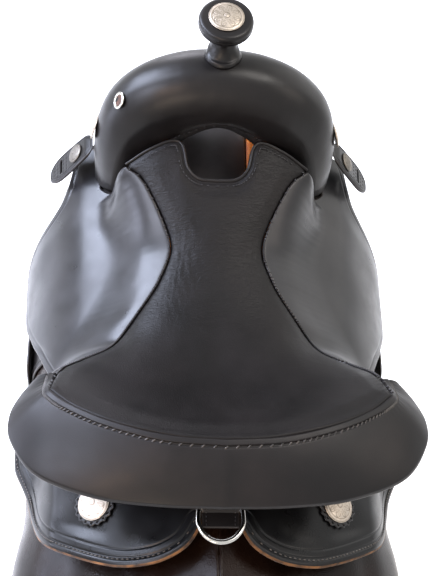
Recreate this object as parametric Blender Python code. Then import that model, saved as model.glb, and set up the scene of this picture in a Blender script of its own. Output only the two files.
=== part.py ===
"""Trail saddle: tree, padded seat, cantle roll, jockeys, skirts, rigging, fenders and stirrups.

Frame: +X is the saddle's right side, +Y runs forward to the horn, +Z is up.
X = 0 is the centre plane, Z = 0 the height of the inner edge of the bars and Y = 0 half way
along the bars.  All lengths are metres.

Every sheet of leather that lies on the horse's barrel is written in barrel coordinates:
s runs outward and down the barrel from the gullet edge, y runs forward and n is the height
above the barrel.  Sheets that keep apart in n can't cut each other.
"""
import bpy
import bmesh
import numpy as np
from mathutils.geometry import delaunay_2d_cdt

# Driving dimensions
GAP = 0.0004                # air between two pieces that touch
GULLET_HALF = 0.035         # half the gap between the two bars
RIM_RISE = 0.010            # how far both ends of the bars curl up
REAR_FLARE = 0.010          # how far the rear corners of the skirts stand out
FRONT_DRAW = 0.015          # how far the shoulders of the skirts are drawn in

WOOL_THICK = 0.012
SKIRT_THICK = 0.0046
BAR_THICK = 0.021
STRAP_THICK = 0.0032        # stirrup leather, rigging strap
JOCKEY_THICK = 0.0038
FENDER_THICK = 0.0035
COVER_THICK = 0.0030        # seat leather
FOAM_THICK = 0.0080

HORN_CAP_DIAMETER = 0.056
HORN_CAP_THICK = 0.014
HORN_NECK_DIAMETER = 0.026
CONCHO_DIAMETER = 0.035     # rear conchos, near 1.4 in
ROSETTE_DIAMETER = 0.046
DEE_WIRE = 0.0048
DEE_WIDTH = 0.047
REAR_DEE_DEPTH = 0.035
REAR_DEE_HALF = GULLET_HALF - 0.0185        # its leather reaches over both rear jockeys
REAR_JOCKEY_LIFT = 0.0003   # clearance for the facets of the bars below it
RIG_DEE_WIRE = 0.0050
RIG_DEE_WIDTH = 0.060
RIG_DEE_DEPTH = 0.044
HORN_CONCHO_DIAMETER = 0.036
SWELL_CONCHO_DIAMETER = 0.028
KEEPER_CONCHO_DIAMETER = 0.022
KEEPER_THICK = 0.0040
EYELET_DIAMETER = 0.0185
EYELET_WIRE = 0.0032
BINDING_WIDE = 0.0036       # bound edge of the seat's front
SWELL_LEATHER = 0.0030
ROLL_THICK = 0.010
ROLL_GROOVE = 0.0020        # groove between the seat and the roll
WRAP_THICK = 0.0025         # leather round the back of the cantle
WRAP_GAP = 0.0022
BOLT_DIAMETER = 0.008
BOLT_CLEAR = 0.0004         # play of the bolt in its bores
BOLT_HALF = 0.0362          # half its length
LOOP_RADIUS = 0.0085        # outside of the leather loop round the bolt
BAR_REAR, BAR_FRONT = -0.255, 0.244         # ends of the tree bars
BAR_TIP_LOSS = 0.62         # share of the thickness a bar loses at its tips
BAR_INNER_S = 0.002         # where the inner face of a bar stands
STRAINER_Y = (0.116, 0.236)                 # ends of the strainer plate under the handhole
STRAINER_LOW = 0.0080       # its height above the barrel at the bars
STRAINER_THICK = 0.0030
STRAINER_CROWN = 0.0060     # how far it arches up between the bars

HORN_FOOT = (0.0, 0.209, 0.0)
HORN_CAP_CENTRE = (0.0, 0.218, 0.206)       # middle of the cap's upper side
REAR_CONCHO_AT = (0.074, -0.219)            # s and y
REAR_DEE_Y = -0.234
KEEPER_TOP = (0.1350, 0.190, 0.0250)        # where the latigo keeper is screwed on
KEEPER_TIP = (0.1840, 0.183, -0.0420)
RIG_BAR_S = 0.262           # where the bar of the rigging dee lies
RIG_Y = (0.078, 0.116)      # the rigging strap's edges
LEATHER_Y = (-0.030, 0.034)                 # the stirrup leather's edges
STRAP_START = 0.123         # just below the edge of the bar
PIVOT_Y, PIVOT_Z = 0.002, -0.150            # the fender swings about this line
BOLT_Z = -0.400

SKIRT_TOP = SKIRT_THICK                       # heights above the barrel, piece on piece
BAR_LOW = SKIRT_TOP + GAP * 1.5
BAR_TOP = BAR_LOW + BAR_THICK
STRAP_LOW = SKIRT_TOP + GAP
STRAP_TOP = STRAP_LOW + STRAP_THICK

# Slope of the barrel in degrees against s, the way a saddle rack holds the skirts.
SLOPE = ((0.0, 20), (0.06, 28), (0.12, 38), (0.165, 52), (0.205, 74), (0.235, 88), (0.26, 90),
         (0.60, 90))

# Lines of s and y that every sheet is folded along: closer where the barrel bends more.
S_LINES = np.interp(np.arange(20, 90, 5.4), [turn for _, turn in SLOPE[:-1]],
                    [s for s, _ in SLOPE[:-1]])
Y_LINES = np.array([-0.30, -0.265, -0.24, -0.215, -0.19, -0.10, 0.0, 0.10, 0.135, 0.17, 0.205,
                    0.24])

SIDES = (("left", -1.0), ("right", 1.0))


# Materials
MATERIALS = {
    "seat_leather": ((0.018, 0.017, 0.018), 0.0, 0.42),
    "polished_leather": ((0.012, 0.012, 0.014), 0.0, 0.25),
    "skirt_leather": ((0.022, 0.014, 0.011), 0.0, 0.30),
    "strap_leather": ((0.014, 0.012, 0.012), 0.0, 0.38),
    "rawhide": ((0.52, 0.20, 0.04), 0.0, 0.35),
    "ground_leather": ((0.20, 0.10, 0.05), 0.0, 0.70),
    "foam": ((0.55, 0.50, 0.38), 0.0, 0.90),
    "fleece": ((0.72, 0.66, 0.52), 0.0, 0.95),
    "silver": ((0.80, 0.79, 0.76), 1.0, 0.28),
    "nickel": ((0.66, 0.65, 0.62), 1.0, 0.18),
}


def start_scene():
    for thing in list(bpy.data.objects):
        bpy.data.objects.remove(thing, do_unlink=True)
    group = bpy.data.collections.new("trail_saddle")
    bpy.context.scene.collection.children.link(group)
    for name, (colour, metallic, roughness) in MATERIALS.items():
        material = bpy.data.materials.new(name)
        material.use_nodes = True
        shader = material.node_tree.nodes["Principled BSDF"]
        shader.inputs["Base Color"].default_value = (*colour, 1.0)
        shader.inputs["Metallic"].default_value = metallic
        shader.inputs["Roughness"].default_value = roughness
    return group


GROUP = start_scene()


# Mesh helpers
def add_solid(name, points, faces, material, smooth=True, origin=(0.0, 0.0, 0.0)):
    """A closed body from points and faces, its origin moved to the given point."""
    mesh = bpy.data.meshes.new(name)
    shifted = np.asarray(points, float) - np.asarray(origin, float)
    mesh.from_pydata(shifted.tolist(), [], faces)
    work = bmesh.new()
    work.from_mesh(mesh)
    bmesh.ops.remove_doubles(work, verts=work.verts, dist=1e-6)
    bmesh.ops.recalc_face_normals(work, faces=work.faces)
    work.to_mesh(mesh)
    work.free()
    mesh.materials.append(bpy.data.materials[material])
    if smooth:
        mesh.shade_smooth()
    solid = bpy.data.objects.new(name, mesh)
    solid.location = origin
    GROUP.objects.link(solid)
    return solid


def loft(name, rings, material, closed=False, smooth=True, origin=(0.0, 0.0, 0.0)):
    """Joins equal rings of points; the two ends are capped unless the rings close up."""
    rings = np.asarray(rings, float)
    count, around, _ = rings.shape
    faces = []
    for j in range(count if closed else count - 1):
        low, high = j * around, ((j + 1) % count) * around
        for i in range(around):
            k = (i + 1) % around
            faces.append((low + i, low + k, high + k))
            faces.append((low + i, high + k, high + i))
    if not closed:
        faces.append(tuple(range(around)))
        faces.append(tuple((count - 1) * around + i for i in range(around)))
    return add_solid(name, rings.reshape(-1, 3), faces, material, smooth, origin)


def slab(name, top, low, material, smooth=True):
    """A closed body between two grids of points of the same size."""
    rows, cols, _ = top.shape
    points = np.concatenate([top.reshape(-1, 3), low.reshape(-1, 3)])
    shift = rows * cols
    faces = []
    for j in range(rows - 1):
        for i in range(cols - 1):
            a = j * cols + i
            for corner in ((a, a + 1, a + cols + 1), (a, a + cols + 1, a + cols)):
                faces.append(corner)
                faces.append(tuple(shift + p for p in reversed(corner)))
    rim = [(0, i) for i in range(cols)] + [(j, cols - 1) for j in range(1, rows)]
    rim += [(rows - 1, i) for i in range(cols - 2, -1, -1)]
    rim += [(j, 0) for j in range(rows - 2, 0, -1)]
    rim = [j * cols + i for j, i in rim]
    for a, b in zip(rim, rim[1:] + rim[:1]):
        faces += [(b, a, shift + a), (b, shift + a, shift + b)]
    return add_solid(name, points, faces, material, smooth)


def curve_through(knots, count, closed=False):
    """Catmull-Rom curve through the knots, count points evenly spread over the knots."""
    knots = np.asarray(knots, float)
    if closed:
        padded = np.concatenate([knots[-1:], knots, knots[:2]])
        spans = len(knots)
        places = np.arange(count) * spans / count
    else:
        padded = np.concatenate([2 * knots[:1] - knots[1:2], knots, 2 * knots[-1:] - knots[-2:-1]])
        spans = len(knots) - 1
        places = np.linspace(0, spans, count)
    index = np.minimum(places.astype(int), spans - 1)
    t = (places - index)[:, None]
    a, b, c, d = (padded[index + k] for k in range(4))
    return 0.5 * (2 * b + (c - a) * t + (2 * a - 5 * b + 4 * c - d) * t ** 2
                  + (3 * b - a - 3 * c + d) * t ** 3)


def ramp(value, low, high):
    """0 below low, 1 above high, smooth between; low may be the larger number."""
    t = np.clip((np.asarray(value, float) - low) / (high - low), 0, 1)
    return t * t * (3 - 2 * t)


# Barrel coordinates
FINE_S = np.arange(-0.06, 0.60, 0.0005)
FINE_SLOPE = np.radians(np.interp(FINE_S, *zip(*SLOPE)))
START = int(np.argmin(abs(FINE_S)))
FINE_X = np.concatenate([[0], np.cumsum(np.cos(FINE_SLOPE[:-1]) * 0.0005)])
FINE_Z = -np.concatenate([[0], np.cumsum(np.sin(FINE_SLOPE[:-1]) * 0.0005)])
FINE_X += GULLET_HALF - FINE_X[START]
FINE_Z -= FINE_Z[START]


def barrel(s, y, n, side=1.0):
    """World point(s) for barrel coordinates."""
    s, y, n = np.broadcast_arrays(np.asarray(s, float), y, n)
    slope = np.interp(s, FINE_S, FINE_SLOPE)
    flare = REAR_FLARE * ramp(y, -0.19, -0.27) * ramp(s, 0.13, 0.22)
    drawn = FRONT_DRAW * ramp(y, 0.10, 0.24) * ramp(s, 0.13, 0.22)
    x = np.interp(s, FINE_S, FINE_X) + n * np.sin(slope) + flare - drawn
    z = np.interp(s, FINE_S, FINE_Z) + n * np.cos(slope) + RIM_RISE * (y / 0.33) ** 2
    return np.stack([side * x, y + 0 * x, z], -1)


def barrel_place(x, y, z):
    """s and n of a world point on the right side."""
    z = z - RIM_RISE * (y / 0.33) ** 2
    lean = (x - FINE_X) * np.cos(FINE_SLOPE) - (z - FINE_Z) * np.sin(FINE_SLOPE)
    best = int(np.argmin(abs(lean)))
    slope = FINE_SLOPE[best]
    n = (x - FINE_X[best]) * np.sin(slope) + (z - FINE_Z[best]) * np.cos(slope)
    return FINE_S[best], n


def inside(points, ring):
    """Which of the points lie inside the closed ring."""
    result = np.zeros(len(points), bool)
    for (x1, y1), (x2, y2) in zip(ring, np.roll(ring, -1, axis=0)):
        crosses = (y1 > points[:, 1]) != (y2 > points[:, 1])
        reach = (x2 - x1) * (points[:, 1] - y1) / (y2 - y1 + 1e-15) + x1
        result ^= crosses & (points[:, 0] < reach)
    return result


def barrel_sheet(name, side, outline, low, thick, material, holes=()):
    """A sheet of leather on the barrel.

    outline is a ring of (s, y) points; low(s, y) gives the height of its under side.  All
    sheets are cut along the same lines of s and y, so their facets run side by side.
    """
    rings = [np.asarray(outline, float)] + [np.asarray(hole, float) for hole in holes]
    points, edges = [], []
    for ring in rings:
        first = len(points)
        points += [tuple(p) for p in ring]
        edges += [(first + i, first + (i + 1) % len(ring)) for i in range(len(ring))]
    (s0, y0), (s1, y1) = rings[0].min(0), rings[0].max(0)
    for s in S_LINES[(S_LINES > s0) & (S_LINES < s1)]:
        edges.append((len(points), len(points) + 1))
        points += [(s, y0 - 0.01), (s, y1 + 0.01)]
    for y in Y_LINES[(Y_LINES > y0) & (Y_LINES < y1)]:
        edges.append((len(points), len(points) + 1))
        points += [(s0 - 0.01, y), (s1 + 0.01, y)]
    cut = delaunay_2d_cdt(points, edges, [], 0, 1e-5)
    flat = np.array([tuple(p) for p in cut[0]])
    triangles = np.array(cut[2])
    centres = flat[triangles].mean(1)
    keep = inside(centres, rings[0])
    for hole in rings[1:]:
        keep &= ~inside(centres, hole)
    triangles = triangles[keep]
    used = np.unique(triangles)
    order = np.full(len(flat), -1)
    order[used] = np.arange(len(used))
    flat, triangles = flat[used], order[triangles]
    under = low(flat[:, 0], flat[:, 1])
    top = barrel(flat[:, 0], flat[:, 1], under + thick, side)
    bottom = barrel(flat[:, 0], flat[:, 1], under, side)
    shift = len(flat)
    faces = [tuple(t) for t in triangles.tolist()]
    faces += [(c + shift, b + shift, a + shift) for a, b, c in triangles.tolist()]
    halves = {}
    for a, b, c in triangles.tolist():
        for p, q in ((a, b), (b, c), (c, a)):
            halves[(p, q)] = True
    for p, q in list(halves):
        if (q, p) not in halves:
            faces.append((q, p, p + shift, q + shift))
    return add_solid(name, np.concatenate([top, bottom]), faces, material)


def level(height):
    return lambda s, y: np.full(len(s), height)


# Skirts, fleece and bars
SKIRT_OUTLINE = curve_through([
    (-0.0360, -0.240), (-0.0360, -0.270), (-0.0360, -0.300), (-0.028, -0.322),
    (0.030, -0.329), (0.140, -0.333),
    (0.205, -0.318), (0.262, -0.282), (0.300, -0.225), (0.315, -0.160), (0.308, -0.080),
    (0.300, 0.000), (0.292, 0.055), (0.270, 0.100), (0.237, 0.130), (0.200, 0.150),
    (0.165, 0.186), (0.122, 0.228), (0.072, 0.254), (0.024, 0.262), (0.003, 0.250),
    (0.003, 0.160), (0.003, 0.000), (0.003, -0.160), (-0.020, -0.222)], 48, closed=True)


def stadium(s, y, long, wide, count=12):
    """Ring of a slot that runs along y."""
    turn = np.linspace(0, 2 * np.pi, count, endpoint=False) + np.pi / count
    return np.stack([s + wide / 2 * np.cos(turn),
                     y + wide / 2 * np.sin(turn) + np.sign(np.sin(turn)) * (long - wide) / 2], -1)


RIG_SLOT = stadium(0.236, -0.270, 0.050, 0.010)
WOOL_SLOT = stadium(0.236, -0.270, 0.058, 0.018)


def inset(ring, amount):
    """The ring moved inward by the amount."""
    ahead = np.roll(ring, -1, axis=0) - np.roll(ring, 1, axis=0)
    normal = np.stack([-ahead[:, 1], ahead[:, 0]], -1)
    normal /= np.linalg.norm(normal, axis=1)[:, None]
    area = np.sum(ring[:, 0] * np.roll(ring[:, 1], -1) - np.roll(ring[:, 0], -1) * ring[:, 1])
    return ring + normal * amount * np.sign(area)


def bar_grids(side):
    """Upper and lower grid of one tree bar: broad pads at both ends, a narrow waist."""
    ys = np.linspace(BAR_REAR, BAR_FRONT, 16)
    width = 0.078 + 0.040 * ramp(abs(ys), 0.06, 0.16) - 0.010 * ramp(ys, -0.14, -0.19)
    width -= 0.045 * ramp(ys, 0.18, BAR_FRONT)
    across = np.array([0.0, 0.06, 0.26, 0.5, 0.76, 0.95, 1.0])
    edge = np.array([0.50, 0.95, 1.0, 1.0, 1.0, 0.72, 0.35])
    tip = 1 - BAR_TIP_LOSS * np.maximum(ramp(ys, -0.225, BAR_REAR), ramp(ys, 0.208, BAR_FRONT))
    s = BAR_INNER_S + width[:, None] * across[None]
    y = np.repeat(ys[:, None], len(across), 1)
    low = barrel(s, y, BAR_LOW, side)
    high = barrel(s, y, BAR_LOW + BAR_THICK * edge[None] * tip[:, None], side)
    return high, low


def strainer_face(n):
    """One face of the strainer: from bar to bar, arched up over the horse's withers."""
    ys = np.linspace(*STRAINER_Y, 6)
    edge = barrel(BAR_INNER_S, ys, n)
    across = np.linspace(-1, 1, 9)
    grid = np.empty((len(ys), len(across), 3))
    grid[..., 0] = (edge[:, :1] - GAP) * across
    grid[..., 1] = edge[:, 1:2]
    grid[..., 2] = edge[:, 2:] + STRAINER_CROWN * (1 - across ** 2)
    return grid


slab("gullet_strainer", strainer_face(STRAINER_LOW + STRAINER_THICK), strainer_face(STRAINER_LOW),
     "polished_leather")

for word, side in SIDES:
    barrel_sheet("woolskin_" + word, side, inset(SKIRT_OUTLINE, 0.0065)[::2],
                 level(-WOOL_THICK - GAP), WOOL_THICK, "fleece", holes=[WOOL_SLOT])
    barrel_sheet("skirt_" + word, side, SKIRT_OUTLINE, level(0.0), SKIRT_THICK, "skirt_leather",
                 holes=[RIG_SLOT])
    slab("tree_bar_" + word, *bar_grids(side), "rawhide")


# Seat surface
# Rows of points from the centre line out to the side seam, front edge first.
SEAT_ROWS = [
    [(0.000, 0.1085, 0.0722), (0.0215, 0.1105, 0.0732), (0.0350, 0.1230, 0.0780),
     (0.0435, 0.1485, 0.0860), (0.070, 0.1425, 0.0800), (0.097, 0.1310, 0.0650)],
    [(0.000, 0.092, 0.0665), (0.019, 0.093, 0.0668), (0.035, 0.097, 0.0680),
     (0.048, 0.103, 0.0682), (0.063, 0.108, 0.0670), (0.076, 0.110, 0.0635)],
    [(0.000, 0.050, 0.0545), (0.012, 0.050, 0.0543), (0.023, 0.050, 0.0537),
     (0.033, 0.051, 0.0525), (0.042, 0.051, 0.0503), (0.050, 0.052, 0.0470)],
    [(0.000, 0.005, 0.0465), (0.013, 0.005, 0.0464), (0.026, 0.006, 0.0458),
     (0.038, 0.008, 0.0446), (0.049, 0.010, 0.0422), (0.058, 0.013, 0.0380)],
    [(0.000, -0.040, 0.0440), (0.020, -0.040, 0.0440), (0.038, -0.038, 0.0433),
     (0.056, -0.035, 0.0410), (0.072, -0.031, 0.0350), (0.083, -0.027, 0.0260)],
    [(0.000, -0.090, 0.0530), (0.027, -0.088, 0.0530), (0.052, -0.083, 0.0510),
     (0.076, -0.075, 0.0450), (0.094, -0.065, 0.0320), (0.106, -0.056, 0.0160)],
    [(0.000, -0.130, 0.0710), (0.032, -0.128, 0.0708), (0.062, -0.120, 0.0680),
     (0.091, -0.107, 0.0610), (0.116, -0.091, 0.0480), (0.134, -0.079, 0.0320)],
    [(0.000, -0.165, 0.0970), (0.034, -0.163, 0.0963), (0.068, -0.154, 0.0925),
     (0.101, -0.138, 0.0850), (0.131, -0.119, 0.0740), (0.153, -0.104, 0.0640)],
    [(0.000, -0.193, 0.1240), (0.036, -0.191, 0.1225), (0.073, -0.183, 0.1185),
     (0.108, -0.171, 0.1115), (0.139, -0.154, 0.1015), (0.161, -0.134, 0.0910)],
]


def seat_grid(rows_out=19, half_cols=7):
    """Smooth grid of the seat's upper side, mirrored about the centre plane."""
    rows = [curve_through(row, half_cols) for row in SEAT_ROWS]
    rows = np.stack(rows)
    columns = [curve_through(rows[:, i], rows_out) for i in range(half_cols)]
    half = np.stack(columns, axis=1)
    half[:, 0, 0] = 0.0
    other = half[:, :0:-1] * (-1, 1, 1)
    return np.concatenate([other, half], axis=1)


def grid_normals(grid):
    normal = np.cross(np.gradient(grid, axis=1), np.gradient(grid, axis=0))
    normal /= np.linalg.norm(normal, axis=2)[..., None]
    return normal * np.sign(normal[..., 2:3])


SEAT_TOP = seat_grid()
SEAT_UP = grid_normals(SEAT_TOP)
SEAM = SEAT_TOP[:, -1]                      # right side seam, front to rear


def seat_layer(depth, rows=slice(None)):
    """The seat surface moved down by a depth, whole or some of its rows."""
    return (SEAT_TOP - SEAT_UP * depth)[rows]


def bar_top_height(x, y):
    """World height of the bars' upper side, level over the gullet."""
    slope = np.sin(FINE_SLOPE), np.cos(FINE_SLOPE)
    top_x, top_z = FINE_X + BAR_TOP * slope[0], FINE_Z + BAR_TOP * slope[1]
    reach = np.maximum(abs(x), GULLET_HALF + 0.010)
    return np.interp(reach, top_x, top_z) + RIM_RISE * (y / 0.33) ** 2


FOAM_LOW = COVER_THICK + GAP + FOAM_THICK
SPLIT = 12                                  # seat row where the cantle takes over
slab("seat_cover", SEAT_TOP, seat_layer(COVER_THICK), "seat_leather")
INNER_ROWS = slice(1, None)                 # the layers below stop short of the front edge
slab("seat_foam", seat_layer(COVER_THICK + GAP, INNER_ROWS), seat_layer(FOAM_LOW, INNER_ROWS),
     "foam")

ground_top = seat_layer(FOAM_LOW + GAP, slice(1, SPLIT))
ground_low = ground_top.copy()
ground_low[..., 2] = np.minimum(bar_top_height(ground_top[..., 0], ground_top[..., 1]) + 0.0008,
                                ground_top[..., 2] - 0.0015)
slab("ground_seat", ground_top, ground_low, "ground_leather")


# Cantle
# Inner and outer edge of the roll from the centre plane round to the end of the cantle.
ROLL_INNER = [(0.000, -0.193, 0.1240), (0.055, -0.188, 0.1210), (0.105, -0.172, 0.1120),
              (0.140, -0.153, 0.1010), (0.157, -0.139, 0.0935), (0.163, -0.129, 0.0880),
              (0.166, -0.119, 0.0800), (0.167, -0.110, 0.0720)]
ROLL_OUTER = [(0.000, -0.252, 0.0940), (0.060, -0.2495, 0.0920), (0.118, -0.240, 0.0860),
              (0.172, -0.216, 0.0750), (0.198, -0.181, 0.0650), (0.202, -0.155, 0.0600),
              (0.193, -0.132, 0.0580), (0.177, -0.112, 0.0600)]


def mirror_strip(half):
    """Points of the right half, centre first, as one strip from the left end to the right."""
    return np.concatenate([half[:0:-1] * (-1, 1, 1), half])


def cantle_roll():
    inner = mirror_strip(curve_through(ROLL_INNER, 13))
    outer = mirror_strip(curve_through(ROLL_OUTER, 13))
    rings = []
    for a, b in zip(inner, outer):
        width = np.linalg.norm(b - a)
        along = (b - a) / width
        up = np.array([0, 0, 1]) - along * along[2]
        up /= np.linalg.norm(up)
        thick = ROLL_THICK * min(1.0, width / 0.03)
        a = a + along * ROLL_GROOVE
        width -= ROLL_GROOVE
        ring = [a]
        for t in (0.2, 0.5, 0.8):
            ring.append(a + along * width * t + up * 0.0045 * np.sin(np.pi * t) ** 0.7)
        edge = b - along * thick * 0.5 - up * thick * 0.42
        for turn in (60, 10, -40, -90):
            turn = np.radians(turn)
            ring.append(edge + thick * 0.5 * (along * np.cos(turn) + up * np.sin(turn)))
        ring.append(a + along * width * 0.5 - up * thick * 0.8)
        rings.append(ring)
    return np.array(rings)


ROLL_RINGS = cantle_roll()
loft("cantle_roll", ROLL_RINGS, "seat_leather")


def cantle_rim():
    """Points of the cantle's rim under the roll, one for every column of the seat grid."""
    inner = ROLL_RINGS[:, 0]
    rim = []
    for point in SEAT_TOP[-1]:
        ring = ROLL_RINGS[int(np.argmin(np.linalg.norm(inner - point, axis=1)))]
        reach = 0.72 - 0.42 * float(ramp(abs(point[0]), 0.125, 0.161))
        rim.append(ring[0] + (ring[-1] - ring[0]) * reach - (0, 0, 0.0012))
    return np.array(rim)


cantle_top = np.concatenate([seat_layer(FOAM_LOW + GAP, slice(SPLIT + 1, None)),
                             cantle_rim()[None]])
cantle_low = cantle_top.copy()
cantle_low[-1, :, 1] += 0.008 * (1 - ramp(abs(cantle_low[-1, :, 0]), 0.09, 0.15))
cantle_low[..., 2] = bar_top_height(cantle_low[..., 0], cantle_low[..., 1]) + 0.0020
cantle_low[..., 2] = np.minimum(cantle_low[..., 2], cantle_top[..., 2] - 0.004)


def wall_path(grid):
    """Edge of a grid from the left front corner round the back to the right front corner."""
    return np.concatenate([grid[:-1, 0], grid[-1], grid[-2::-1, -1]])


def draw_in(grid, amount):
    """The grid with its side and back edges moved in by the amount, seen from above."""
    path = wall_path(grid)
    ahead = np.gradient(path, axis=0)
    out = np.stack([ahead[:, 1], -ahead[:, 0], 0 * ahead[:, 0]], -1)
    out *= -1 / np.linalg.norm(out, axis=1)[:, None]
    path = path + out * amount
    moved, rows = grid.copy(), len(grid)
    moved[:-1, 0], moved[-1], moved[-2::-1, -1] = path[:rows - 1], path[rows - 1:1 - rows], \
        path[1 - rows:]
    return moved


slab("cantle_core", draw_in(cantle_top, WRAP_THICK + WRAP_GAP),
     draw_in(cantle_low, WRAP_THICK + WRAP_GAP), "ground_leather")


def cantle_wrap(amount):
    """One face of the leather round the sides and back of the cantle."""
    top, low = wall_path(draw_in(cantle_top, amount)), wall_path(draw_in(cantle_low, amount))
    return np.array([top + (low - top) * part for part in (0.06, 0.50, 0.97)])


slab("cantle_back", cantle_wrap(0.0), cantle_wrap(WRAP_THICK), "seat_leather")


# Jockeys
JOCKEY_LOW = BAR_TOP + GAP


def seat_jockey_low(s, y):
    """Under side of the seat jockey: up to the seam, over the bar, out over the fender."""
    far = JOCKEY_LOW + (0.0180 - JOCKEY_LOW) * ramp(s, 0.10, 0.19)
    seam_s, seam_n = [], []
    for x, yy, z in SEAM:
        place, height = barrel_place(x, yy, z)
        seam_s.append(place)
        seam_n.append(height)
    order = np.argsort(SEAM[:, 1])
    s0 = np.interp(y, SEAM[order, 1], np.array(seam_s)[order])
    n0 = np.interp(y, SEAM[order, 1], np.array(seam_n)[order]) - JOCKEY_THICK
    rise = np.maximum(n0 - far, 0) * (1 - ramp(s - s0, 0.0, 0.050))
    return far + rise * (1 - ramp(y, 0.134, 0.152))


def seam_outline():
    """Inner edge of the seat jockey in barrel coordinates, a hair outside the seat seam."""
    edge = []
    for x, y, z in SEAM:
        if -0.104 < y < 0.136:
            s, _ = barrel_place(x, y, z)
            edge.append((s + 0.0022, y))
    return edge


seam_edge = seam_outline()
JOCKEY_OUTLINE = np.concatenate([
    seam_edge[::2],
    curve_through([(0.112, -0.099), (0.128, -0.080), (0.148, -0.052), (0.165, -0.028),
                   (0.182, -0.006), (0.204, 0.028), (0.212, 0.066), (0.213, 0.098),
                   (0.190, 0.121), (0.166, 0.134), (0.148, 0.143), (0.133, 0.156),
                   (0.125, 0.178), (0.120, 0.196), (0.112, 0.205), (0.100, 0.207),
                   (0.0915, 0.203)], 36),
    [(0.0908, 0.190), (0.0905, 0.178), (0.0888, 0.165), (0.0862, 0.1555), (0.0850, 0.1485),
     (0.0765, 0.1398), (0.0660, 0.1355)]])

REAR_JOCKEY_OUTLINE = curve_through([
    (-0.028, -0.222), (0.010, -0.222), (0.050, -0.216), (0.090, -0.200), (0.124, -0.176),
    (0.138, -0.145), (0.140, -0.118), (0.146, -0.090), (0.180, -0.078), (0.196, -0.100),
    (0.198, -0.140), (0.188, -0.172), (0.178, -0.196), (0.164, -0.219), (0.145, -0.239),
    (0.125, -0.253), (0.100, -0.265), (0.075, -0.275), (0.050, -0.282), (0.025, -0.283),
    (0.005, -0.279), (-0.015, -0.269), (-0.028, -0.252)], 46, closed=True)

FRONT_JOCKEY_OUTLINE = curve_through([
    (-0.020, 0.2335), (0.020, 0.2335), (0.055, 0.2335), (0.074, 0.236), (0.078, 0.243),
    (0.066, 0.250), (0.045, 0.255), (0.010, 0.257), (-0.018, 0.253), (-0.024, 0.244)], 20,
    closed=True)


def rear_jockey_low(s, y):
    """Lies on the bar, then comes down to the skirt; its front wing stands off."""
    wing = 0.011 * ramp(s, 0.155, 0.200) * ramp(y, -0.195, -0.150)
    return JOCKEY_LOW + REAR_JOCKEY_LIFT + (0.0095 - JOCKEY_LOW) * ramp(s, 0.118, 0.175) + wing


def front_jockey_low(s, y):
    """Lies on the front of the bar and follows it down to its tip."""
    fall = np.clip((y - 0.2107) / (BAR_FRONT - 0.2107), 0, 1)
    return JOCKEY_LOW - (BAR_THICK * BAR_TIP_LOSS - 0.0010) * fall + 0 * s


for word, side in SIDES:
    barrel_sheet("seat_jockey_" + word, side, JOCKEY_OUTLINE, seat_jockey_low, JOCKEY_THICK,
                 "polished_leather")
    barrel_sheet("rear_jockey_" + word, side, REAR_JOCKEY_OUTLINE, rear_jockey_low,
                 JOCKEY_THICK, "polished_leather")
    barrel_sheet("front_jockey_" + word, side, FRONT_JOCKEY_OUTLINE, front_jockey_low,
                 JOCKEY_THICK, "polished_leather")


# Fork and swell
# Section of the swell on the centre plane: y and height above the arch line.
SWELL_SECTION = np.array([
    (0.160, -0.025), (0.157, -0.013), (0.161, 0.003), (0.170, 0.020), (0.184, 0.032),
    (0.200, 0.035), (0.215, 0.031), (0.228, 0.021), (0.239, 0.006), (0.246, -0.010),
    (0.249, -0.026), (0.246, -0.034), (0.228, -0.031), (0.204, -0.030), (0.180, -0.031),
    (0.166, -0.031)])
SWELL_MIDDLE = 0.204
SWELL_AROUND = 16           # points round a section
SWELL_RINGS = 8             # sections from the centre to the foot
# Arch from the centre to the foot: x, z, lean in degrees, shift in y, scale in y, scale across,
# and how much deeper the section reaches inward.
SWELL_ARCH = np.array([
    (0.000, 0.1250, 0, 0.000, 1.00, 1.00, 1.0), (0.036, 0.1215, 13, -0.001, 1.00, 0.98, 1.4),
    (0.068, 0.1085, 32, -0.003, 0.99, 0.92, 1.8), (0.093, 0.0860, 54, -0.006, 0.98, 0.82, 2.3),
    (0.106, 0.0590, 78, -0.012, 0.97, 0.72, 2.8), (0.1115, 0.0330, 95, -0.018, 0.96, 0.65, 3.1),
    (0.113, 0.0120, 107, -0.022, 0.95, 0.62, 3.2)])


def swell_rings(shrink, foot_drop, sole=()):
    """Rings of the swell from the left foot to the right one, drawn in by shrink.

    sole lists smaller and smaller rings that close the foot along the bar.
    """
    section = curve_through(SWELL_SECTION - (SWELL_MIDDLE, 0), SWELL_AROUND, closed=True)
    half = []
    for x, z, lean, shift, scale_y, scale_r, deep in curve_through(SWELL_ARCH, SWELL_RINGS):
        lean = np.radians(lean)
        across = section[:, 1] * scale_r * np.where(section[:, 1] < 0, deep, 1.0)
        flat = np.stack([section[:, 0] * scale_y, across], -1)
        flat = inset(flat, shrink) if shrink else flat
        ring = np.empty((len(section), 3))
        ring[:, 0] = x + flat[:, 1] * np.sin(lean)
        ring[:, 1] = SWELL_MIDDLE + shift + flat[:, 0]
        ring[:, 2] = z + flat[:, 1] * np.cos(lean)
        half.append(ring)
    for size in (1.0, *sole):
        foot = half[SWELL_RINGS - 1] * size + half[SWELL_RINGS - 1].mean(0) * (1 - size)
        foot[:, 2] = bar_top_height(foot[:, 0], foot[:, 1]) + foot_drop
        half.append(foot)
    half = np.array(half)
    return np.concatenate([half[:0:-1] * (-1, 1, 1), half])


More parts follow.
